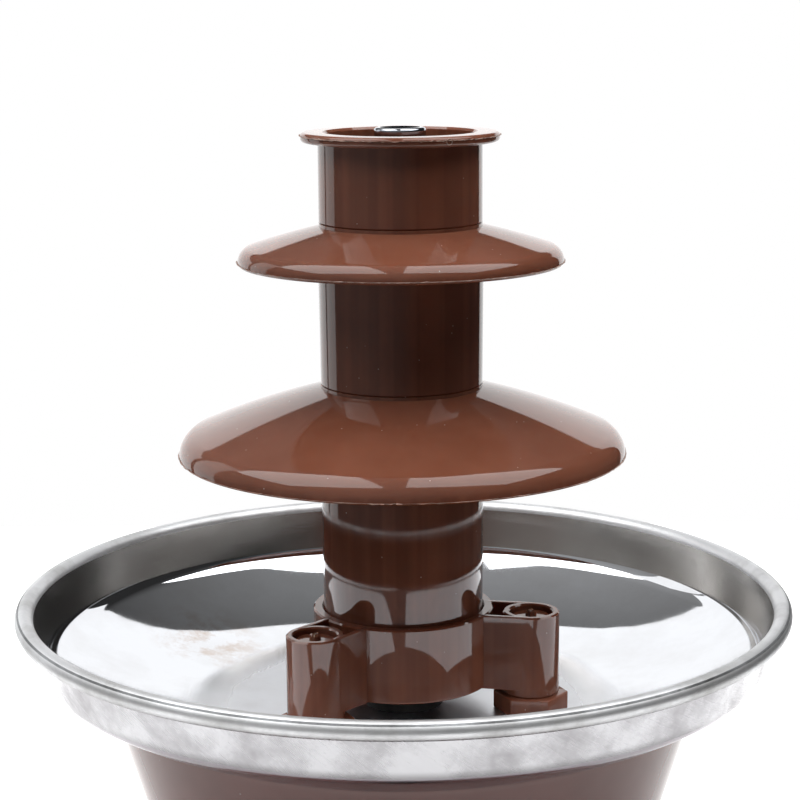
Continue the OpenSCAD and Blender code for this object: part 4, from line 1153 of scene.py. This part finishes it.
@dataclass(frozen=True)
class Auger:
    """Polished core with a rounded, hollowed top and the helical strip round it."""

    core_radius: float = 5.7
    core_round: float = 0.7
    foot_chamfer: float = 0.3
    recess_radius: float = 4.4
    recess_depth: float = 1.6
    core_foot: float = 106.2
    core_top: float = 235.0
    socket_radius: float = 3.1
    socket_top: float = 135.6
    flight_radius: float = 15.9
    flight_thickness: float = 1.6
    flight_foot: float = 109.7
    flight_top: float = 228.0
    flight_gap: float = 0.02
    pitch: float = 24.0
    steps_a_turn: int = 72

    def build(self) -> None:
        """Builds the core and the flight."""
        core = turned("auger_core_turned", (
            [(0.0, self.socket_top), (self.socket_radius, self.socket_top),
             (self.socket_radius, self.core_foot), (self.core_radius - self.foot_chamfer, self.core_foot),
             (self.core_radius, self.core_foot + self.foot_chamfer)]
            + arc((self.core_radius - self.core_round, self.core_top - self.core_round),
                  self.core_round, 0, 90)
            + [(self.recess_radius, self.core_top), (self.recess_radius, self.core_top - self.recess_depth),
               (0.0, self.core_top - self.recess_depth)]), MIDDLE_STEPS)
        smooth(core)
        coat(core, POLISHED)
        seat(core, "auger", Slot.POLISHED, "auger_core")
        self.flight()

    def flight(self) -> None:
        """Sweeps the flight's section up a helix."""
        inner = self.core_radius + self.flight_gap
        width = self.flight_radius - inner
        rise = self.flight_top - self.flight_foot - self.flight_thickness
        turns = rise / self.pitch
        stand = Matrix.Rotation(math.radians(90), 4, "X")
        middle = Vector((inner + width / 2, 0, self.flight_foot + self.flight_thickness / 2)) * MM
        size = Matrix.Diagonal((width, self.flight_thickness, 1.0, 1.0))
        flight = panel("auger_flight_swept", Matrix.Translation(middle) @ stand @ size, MM)
        bpy.ops.object.mode_set(mode="EDIT")
        bpy.ops.mesh.select_all(action="SELECT")
        bpy.ops.mesh.delete(type="ONLY_FACE")
        bpy.ops.object.mode_set(mode="OBJECT")
        bpy.ops.object.modifier_add(type="SCREW")
        screw = flight.modifiers[-1]
        screw.angle = math.tau * turns
        screw.screw_offset = rise * MM
        screw.steps = screw.render_steps = round(self.steps_a_turn * turns)
        bpy.ops.object.modifier_apply(modifier=screw.name)
        bpy.ops.object.mode_set(mode="EDIT")
        bpy.ops.mesh.select_all(action="SELECT")
        bpy.ops.mesh.fill_holes(sides=4)
        bpy.ops.mesh.normals_make_consistent(inside=False)
        bpy.ops.object.mode_set(mode="OBJECT")
        smooth(flight)
        coat(flight, POLISHED)
        seat(flight, "auger", Slot.POLISHED, "auger_flight")


@dataclass(frozen=True)
class Bowl:
    """Pressed bowl: flat middle, floor rising in an arc to a crease, short wall and rolled bead."""

    floor: float = 103.6
    well: float = 38.0
    floor_round: float = 77.0
    floor_slope: float = 32.0
    rim_radius: float = 87.5
    rim_height: float = 130.0
    bead: float = 4.1
    sheet: float = 0.8
    crease_radius: float = 81.0
    crease_round: float = 5.0
    centre_hole: float = 8.1
    crest: tuple[float, float] = (38.0, 56.0)
    bead_end: float = -135.0
    bead_steps: int = 63
    bead_foot_share: float = 0.36
    bead_reach_share: float = 0.55
    wall_margin: float = 4.0
    under_lean: float = -0.5

    @property
    def bead_centre(self) -> tuple[float, float]:
        """Centre of the bead's section."""
        return self.rim_radius - self.bead / 2, self.rim_height - self.bead / 2

    @property
    def line(self) -> Outline:
        """Line of the upper face past the floor's arc.

        Returns:
            Outer end of the arc, the crease and the foot of the bead.
        """
        radius, height = self.bead_centre
        edge = self.floor_face(0.0)[-1]
        rise = (self.crease_radius - edge[0]) * math.tan(math.radians(self.floor_slope))
        return [edge, (self.crease_radius, edge[1] + rise), (radius - self.bead / 2, height)]

    @property
    def wall_slope(self) -> float:
        """Slope of the wall in degrees."""
        foot, top = self.line[-2:]
        return math.degrees(math.atan2(top[1] - foot[1], top[0] - foot[0]))

    def under(self, radius: float) -> float:
        """Gives the height of the underside at a radius on the floor's arc."""
        drop = math.sqrt((self.floor_round + self.sheet) ** 2 - (radius - self.well) ** 2)
        return self.floor + self.floor_round - drop

    def floor_face(self, out: float) -> Outline:
        """Gives the arc of the floor, moved down and out by an amount."""
        centre = (self.well, self.floor + self.floor_round)
        return arc(centre, self.floor_round + out, -90, self.floor_slope - 90, 3 * ARC_STEPS)

    def face(self, out: float) -> Outline:
        """Gives the face from the well to the wall, moved down and out by an amount."""
        return self.floor_face(out) + corner(*self.line, self.crease_round, out)

    def build(self) -> None:
        """Builds the bowl."""
        outline = ([(self.centre_hole, self.floor)] + self.face(0.0)
                   + arc(self.bead_centre, self.bead / 2, 180, self.bead_end, self.bead_steps)
                   + self.face(self.sheet)[::-1] + [(self.centre_hole, self.floor - self.sheet)])
        obj = turned("bowl_pressing", outline, BOWL_STEPS)
        smooth(obj)
        self.dress(obj)
        seat(obj, "base", Slot.BOWL, "bowl")

    def dress(self, obj: bpy.types.Object) -> None:
        """Gives each zone of the bowl its finish; a later zone covers an earlier one.

        Args:
            obj: The bowl.
        """
        bead_radius, bead_height = self.bead_centre
        bead_foot = bead_height - self.bead * self.bead_foot_share
        bead_reach = self.bead * self.bead_reach_share
        crease = self.line[1][1]
        steepest = math.cos(math.radians(self.wall_slope - self.wall_margin))
        low, high = (math.radians(angle) for angle in self.crest)

        def outward(face: Vector, normal: Vector) -> float:
            """Tells by its sign whether a face looks away from the axis."""
            return normal.dot(Vector((face.x, face.y, 0)))

        def from_bead(face: Vector) -> tuple[float, float]:
            """Gives a face's distance outward and upward from the middle of the bead."""
            return math.hypot(face.x, face.y) - bead_radius, face.z - bead_height

        def on_crest(face: Vector) -> bool:
            """Tells whether a face is on the pitted line along the top of the bead."""
            out, up = from_bead(face)
            return up > 0 and low < math.atan2(up, out) < high

        zones = {
            BowlZone.OUTSIDE: lambda face, normal: normal.z < 0 or outward(face, normal) > 0,
            BowlZone.UNDER: lambda face, normal: normal.z < self.under_lean and face.z < crease,
            BowlZone.WALL: lambda face, normal: outward(face, normal) < 0 < normal.z < steepest,
            BowlZone.BEAD: lambda face, _: face.z > bead_foot and math.hypot(*from_bead(face)) < bead_reach,
            BowlZone.CREST: lambda face, _: on_crest(face),
        }
        coat(obj, BOWL_STEEL[BowlZone.FLOOR])
        for zone, test in zones.items():
            coat(obj, BOWL_STEEL[zone], test)


@dataclass(frozen=True)
class Pedestal:
    """Waisted housing under the bowl, with the flat pads for the knob and the cord gland."""

    bowl: Bowl
    rim: float = 66.5
    gasket: float = 1.2
    lip: float = 0.8
    lip_gap: float = 0.05
    wall: float = 2.4
    waist: float = 50.34
    waist_round: float = 29.45
    flare: float = 60.0
    skirt_round: float = 10.0
    skirt_height: float = 8.9
    foot_height: float = 6.0
    bulkhead_foot: float = 84.0
    bulkhead_thickness: float = 2.4
    bulkhead_hole: float = 7.0
    pad_out: float = 5.0
    pad_edge: float = 0.8
    pad_corner: float = 0.25
    knob_pad: float = 15.0
    gland_pad: float = 10.0
    knob_hole: float = 4.6
    gland_hole: float = 5.15
    cut_past: float = 1.0

    @property
    def waist_height(self) -> float:
        """Height of the narrowest place."""
        rise = (self.waist_round + self.skirt_round) * math.sin(math.radians(self.flare))
        return self.foot_height + self.skirt_height + rise

    @property
    def rim_height(self) -> float:
        """Height of the rim under the bowl's gasket."""
        return self.bowl.under(self.rim) - self.gasket

    @property
    def taper(self) -> float:
        """Lean of the straight side, which runs from the rim onto the round of the waist."""
        out, up = self.rim - self.waist - self.waist_round, self.rim_height - self.waist_height
        return 180 - math.degrees(math.atan2(up, out) + math.acos(self.waist_round / math.hypot(out, up)))

    def side(self, inset: float) -> Outline:
        """Gives the side from the rim to the foot of the skirt.

        Args:
            inset: Distance of the face inside the outer face.

        Returns:
            Points from the rim down.
        """
        flare = math.radians(self.flare)
        out = self.waist + self.waist_round * (1 - math.cos(flare)) - self.skirt_round * math.cos(flare)
        shoulder = (out, self.foot_height + self.skirt_height)
        hollow = [(self.waist + self.waist_round - x, self.waist_height + z)
                  for x, z in arc((0, 0), self.waist_round + inset, self.taper, -self.flare, 3 * ARC_STEPS)]
        top = self.rim - inset / math.cos(math.radians(self.taper))
        return ([(top, self.rim_height)] + hollow + arc(shoulder, self.skirt_round - inset, self.flare, 0)
                + [(shoulder[0] + self.skirt_round - inset, self.foot_height)])

    def seal(self, outer: float) -> None:
        """Turns the gasket that lies inside the lip.

        Args:
            outer: Outer radius of the gasket.
        """
        inner = self.rim - self.wall
        ring = turned("gasket_ring", [(inner, self.rim_height), (outer, self.rim_height),
                                      (outer, self.bowl.under(outer)), (inner, self.bowl.under(inner))])
        smooth(ring)
        coat(ring, RUBBER)
        seat(ring, "base", Slot.RUBBER, "bowl_gasket")

    def facing(self, turn: float) -> Matrix:
        """Gives the place at the waist from which a piece drawn along +Z faces outward.

        Args:
            turn: Turn round the axis in degrees, from the front.

        Returns:
            The place.
        """
        return (Matrix.Translation((0, 0, self.waist_height * MM))
                @ Matrix.Rotation(math.radians(turn), 4, "Z") @ Matrix.Rotation(math.radians(90), 4, "X"))

    def build(self) -> None:
        """Builds the housing with its two pads and the bulkhead inside it."""
        shoulder = self.rim - self.lip
        obj = turned("pedestal_moulding", self.side(0.0) + self.side(self.wall)[::-1]
                     + [(shoulder, self.rim_height), (shoulder, self.bowl.under(shoulder) - self.lip_gap),
                        (self.rim, self.bowl.under(self.rim) - self.lip_gap)])
        self.seal(shoulder - self.lip_gap)
        self.add_pad(obj, 0.0, self.knob_pad, self.knob_hole)
        self.add_pad(obj, 180.0, self.gland_pad, self.gland_hole)
        lean = math.tan(math.radians(self.taper))
        reach = self.rim - (self.rim_height - self.bulkhead_foot) * lean - self.wall / 2
        roof = self.bulkhead_foot + self.bulkhead_thickness
        bulkhead = turned("bulkhead", [
            (self.bulkhead_hole, self.bulkhead_foot), (reach, self.bulkhead_foot),
            (reach, roof), (self.bulkhead_hole, roof)], MIDDLE_STEPS)
        combine(obj, bulkhead, Join.ADD)
        smooth(obj)
        coat(obj, HOUSING)
        seat(obj, "base", Slot.HOUSING, "base_housing")

    def add_pad(self, obj: bpy.types.Object, turn: float, radius: float, hole: float) -> None:
        """Adds a hollow round pad with a flat face and a hole to the waist.

        Args:
            obj: The housing.
            turn: Turn of the pad round the axis in degrees, from the front.
            radius: Outer radius of the pad.
            hole: Radius of the hole in its face.
        """
        face = self.waist + self.pad_out
        foot, depth = self.waist - self.wall / 2, self.waist - 2 * self.wall
        pad = turned("pad", [
            (0.0, foot), (radius, foot), (radius, face - self.pad_edge),
            (radius - self.pad_corner, face - self.pad_corner), (radius - self.pad_edge, face),
            (0.0, face)], MIDDLE_STEPS)
        moved(pad, self.facing(turn))
        combine(obj, pad, Join.ADD)
        inner = radius - self.wall
        hollow = turned("pad_hollow", [
            (0.0, depth), (inner, depth), (inner, face - self.wall), (hole, face - self.wall),
            (hole, face + self.cut_past), (0.0, face + self.cut_past)], SMALL_STEPS)
        moved(hollow, self.facing(turn))
        combine(obj, hollow, Join.CUT)


@dataclass(frozen=True)
class Knob:
    """Control knob with a skirt, a finger bar and a pointer groove."""

    pedestal: Pedestal
    radius: float = 13.0
    height: float = 13.5
    gap: float = 0.5
    skirt: float = 4.0
    skirt_lean: float = 0.5
    skirt_edge: float = 1.1
    skirt_drop: float = 0.6
    hub_wall: float = 2.5
    hub_drop: float = 1.0
    bar_share: float = 0.6
    bar_inset: float = 1.4
    bar_sink: float = 0.5
    bar_lean: float = 0.4
    bar_edge: float = 1.2
    bar_drop: float = 0.9
    groove_width: float = 1.0
    groove_height: float = 1.6
    edge_round: float = 0.25
    round_from: float = 60.0
    nut_room: float = 7.6
    bush_room: float = 4.8
    nut_depth: float = 2.7
    bush_depth: float = 5.3
    spindle: float = 3.03

    def build(self) -> None:
        """Builds the knob facing the front."""
        grip = self.radius - self.bar_inset
        hub, hub_top = self.spindle + self.hub_wall, self.height - self.hub_drop
        obj = turned("knob_moulding", [
            (self.spindle, self.bush_depth), (self.bush_room, self.bush_depth),
            (self.bush_room, self.nut_depth), (self.nut_room, self.nut_depth), (self.nut_room, 0.0),
            (self.radius, 0.0), (self.radius - self.skirt_lean, self.skirt - self.skirt_drop),
            (self.radius - self.skirt_edge, self.skirt), (hub, self.skirt), (hub, hub_top),
            (self.spindle, hub_top)], SMALL_STEPS)
        foot = self.skirt - self.bar_sink
        bar = turned("bar", [
            (0.0, foot), (grip, foot), (grip - self.bar_lean, self.height - self.bar_drop),
            (grip - self.bar_edge, self.height), (0.0, self.height)], SMALL_STEPS)
        sides = block("bar_sides", Matrix.Translation((0, 0, self.height / 2 * MM)) @ Matrix.Diagonal(
            (self.radius * self.bar_share, 3 * self.radius, 2 * self.height, 1.0)))
        combine(bar, sides, Join.KEEP)
        combine(obj, bar, Join.ADD)
        groove = block("groove", Matrix.Translation(Vector((0, self.radius, self.height)) * MM)
                       @ Matrix.Diagonal((self.groove_width, self.radius, self.groove_height, 1.0)))
        combine(obj, groove, Join.CUT)
        soften(obj, self.edge_round, self.round_from)
        place = self.pedestal.facing(0.0) @ Matrix.Translation(
            (0, 0, (self.pedestal.waist + self.pedestal.pad_out + self.gap) * MM))
        moved(obj, place)
        smooth(obj)
        # Large faces keep their own shading, so that no dark notches show where the bar meets the skirt
        bpy.ops.object.modifier_add(type="WEIGHTED_NORMAL")
        even = obj.modifiers[-1]
        even.keep_sharp = True
        bpy.ops.object.modifier_apply(modifier=even.name)
        coat(obj, BLACK)
        seat(obj, "knob", Slot.BLACK, "control_knob")


@dataclass
class Works:
    """Gears, motor, heater, fasteners and feet, which keep their CAD mesh."""

    dressed: list[str] = field(default_factory=list)

    def dress(self) -> None:
        """Gives each CAD node that still shows the material of its slot."""
        names = {slot.value: slot for slot in Slot}
        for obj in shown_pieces():
            for index, old in enumerate(obj.data.materials):
                slot = names.get(old.name.split(".")[0]) if old else None
                if slot and "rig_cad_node" in obj:
                    obj.data.materials[index] = SLOT_FINISH[slot].make()
                    self.dressed.append(obj.name)
        LOG.info("%d CAD nodes dressed", len(self.dressed))


@dataclass(frozen=True)
class SoftBox:
    """Flat soft light that hangs level over the object."""

    name: str
    centre: tuple[float, float]
    size: tuple[float, float]
    height: float = 1.1
    radiance: float = 3.4

    def hang(self) -> None:
        """Hangs the light in its place, as bright at any size."""
        bpy.ops.object.light_add(type="AREA", location=(*self.centre, self.height))
        light = fresh(self.name)
        light.data.shape = "RECTANGLE"
        light.data.size, light.data.size_y = self.size
        light.data.energy = self.radiance * math.pi * self.size[0] * self.size[1]


@dataclass(frozen=True)
class Stage:
    """Table, white cards, two soft boxes, room light and the camera at the photograph's place."""

    table_half_width: float = 0.4
    table_front: float = 0.33
    table_back: float = 0.55
    table_colour: str = "#d9d8d7"
    table_rough: float = 0.9
    shadow_radius: float = 0.08
    white_radius: float = 0.26
    card_distance: float = 0.28
    card_height: float = 0.32
    card_left: float = 0.35
    card_right: float = 0.235
    card_glow: float = 1.25
    wing_distance: float = 0.42
    wing_front: float = 0.1
    wing_back: float = 0.3
    wing_height: float = 0.5
    boxes: tuple[SoftBox, ...] = (
        SoftBox("left_soft_box", (-0.783, -0.17), (1.26, 1.1)),
        SoftBox("right_soft_box", (0.576, -0.14), (1.10, 1.07)),
    )
    room_light: float = 0.06
    room_lean: tuple[float, float, float] = (-0.2, -0.12, 0.3)
    room_least: float = 0.03
    fill_light: float = 0.02
    camera_place: tuple[float, float, float] = (-0.00042, -0.449, 0.264)
    camera_pitch: float = 11.31
    camera_roll: float = -0.42
    focal_length: float = 91.9
    sensor_width: float = 36.0

    def table_finish(self) -> bpy.types.Material:
        """Makes the pale table, which fades to pure white away from the object's shadow.

        Returns:
            The material.
        """
        material = bpy.data.materials.new("stage_pale_table")
        material.use_nodes = True
        tree = material.node_tree
        shader = tree.nodes["Principled BSDF"]
        shader.inputs["Base Color"].default_value = linear(self.table_colour)
        shader.inputs["Roughness"].default_value = self.table_rough
        shader.inputs["Emission Color"].default_value = linear("#ffffff")
        place = add_node(tree, "ShaderNodeTexCoord").outputs["Object"]
        away = add_node(tree, "ShaderNodeVectorMath", {0: place}, operation="LENGTH")
        fade = add_node(tree, "ShaderNodeMapRange",
                        {"Value": away.outputs["Value"], "From Min": self.shadow_radius,
                         "From Max": self.white_radius}, interpolation_type="SMOOTHSTEP")
        # The white shows to the camera and in reflections, and lights nothing
        path = add_node(tree, "ShaderNodeLightPath")
        seen = add_node(tree, "ShaderNodeMath",
                        {0: path.outputs["Is Camera Ray"], 1: path.outputs["Is Glossy Ray"]},
                        operation="MAXIMUM")
        white = add_node(tree, "ShaderNodeMath",
                         {0: fade.outputs["Result"], 1: seen.outputs[0]}, operation="MULTIPLY")
        tree.links.new(white.outputs[0], shader.inputs["Emission Strength"])
        return material

    def card_finish(self) -> bpy.types.Material:
        """Makes the cards' even white glow.

        Returns:
            The material.
        """
        material = bpy.data.materials.new("stage_white_card")
        material.use_nodes = True
        shader = material.node_tree.nodes["Principled BSDF"]
        shader.inputs["Base Color"].default_value = linear("#000000")
        shader.inputs["Emission Color"].default_value = linear("#ffffff")
        shader.inputs["Emission Strength"].default_value = self.card_glow
        return material

    def build(self) -> None:
        """Builds the stage, the lights and the camera."""
        upright = math.radians(90)
        middle, depth = (self.table_back - self.table_front) / 2, self.table_back + self.table_front
        table = panel("stage_table", Matrix.Translation((0, middle, 0))
                      @ Matrix.Diagonal((2 * self.table_half_width, depth, 1.0, 1.0)))
        table.data.materials.append(self.table_finish())
        middle = (self.card_right - self.card_left) / 2
        card = panel("stage_back_card",
                     Matrix.Translation((middle, self.card_distance, self.card_height / 2))
                     @ Matrix.Rotation(upright, 4, "X")
                     @ Matrix.Diagonal((self.card_left + self.card_right, self.card_height, 1.0, 1.0)))
        middle = (self.wing_front + self.wing_back) / 2
        wing = panel("stage_side_card",
                     Matrix.Translation((-self.wing_distance, middle, self.wing_height / 2))
                     @ Matrix.Rotation(upright, 4, "Y")
                     @ Matrix.Diagonal((self.wing_height, self.wing_back - self.wing_front, 1.0, 1.0)))
        white = self.card_finish()
        for board in (card, wing):
            board.data.materials.append(white)
            board.visible_camera = False
            board.visible_shadow = False
        # The side card shows only in reflections
        wing.visible_diffuse = False
        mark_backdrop(table, card, wing)
        for box in self.boxes:
            box.hang()
        self.room()
        self.camera()

    def room(self) -> None:
        """Lights the room dimly, and shows it white behind the object."""
        world = bpy.data.worlds.new("room")
        bpy.context.scene.world = world
        world.use_nodes = True
        tree = world.node_tree
        # In reflections the room is brighter to the left, to the front and above
        way = add_node(tree, "ShaderNodeTexCoord").outputs["Generated"]
        lean = add_node(tree, "ShaderNodeVectorMath", {0: way, 1: self.room_lean}, operation="DOT_PRODUCT")
        level = add_node(tree, "ShaderNodeMath",
                         {0: lean.outputs["Value"], 1: self.room_light}, operation="ADD")
        shown = add_node(tree, "ShaderNodeMath",
                         {0: level.outputs[0], 1: self.room_least}, operation="MAXIMUM")
        path = add_node(tree, "ShaderNodeLightPath")
        lit = add_node(tree, "ShaderNodeMapRange",
                       {"Value": path.outputs["Is Diffuse Ray"], "To Min": shown.outputs[0],
                        "To Max": self.fill_light})
        seen = add_node(tree, "ShaderNodeMapRange",
                        {"Value": path.outputs["Is Camera Ray"], "To Min": lit.outputs["Result"],
                         "To Max": 1.0})
        tree.nodes["Background"].inputs["Color"].default_value = linear("#ffffff")
        tree.links.new(seen.outputs["Result"], tree.nodes["Background"].inputs["Strength"])

    def camera(self) -> None:
        """Puts the camera where the photograph was taken."""
        tilt = Euler((math.radians(90 - self.camera_pitch), 0, 0)).to_matrix()
        roll = Matrix.Rotation(math.radians(self.camera_roll), 3, "Z")
        bpy.ops.object.camera_add(location=self.camera_place, rotation=(tilt @ roll).to_euler())
        camera = fresh("photo_camera")
        camera.data.lens = self.focal_length
        camera.data.sensor_width = self.sensor_width
        bpy.context.scene.camera = camera
        bpy.context.scene.view_settings.view_transform = "Standard"


def main() -> None:
    """Builds every piece and the stage."""
    logging.basicConfig(level=logging.INFO)
    tube = Tube()
    foot = TowerFoot(tube)
    crown = Crown(tube)
    lower = Tier("lower_tier_moulding", "lower_dish", "lower_tier", seam=178.25, rim=50.0,
                 neck_slope=14.5, edge_slope=23.0, rounding=5.4, tube=tube, seed=11)
    upper = Tier("upper_tier_moulding", "upper_dish", "upper_tier", seam=crown.seam, rim=36.1,
                 neck_slope=13.5, edge_slope=18.0, rounding=3.5, tube=tube, seed=7, lip=0.6)
    lower.build([(tube.bore, foot.seat_height), (tube.outer, foot.seat_height), (tube.outer, foot.top)])
    upper.build(tube.spigot_end(lower.seam))
    crown.build()
    foot.build()
    Auger().build()
    bowl = Bowl(floor=foot.floor)
    bowl.build()
    pedestal = Pedestal(bowl)
    pedestal.build()
    Knob(pedestal).build()
    Works().dress()
    Stage().build()


if __name__ == "__main__":
    main()
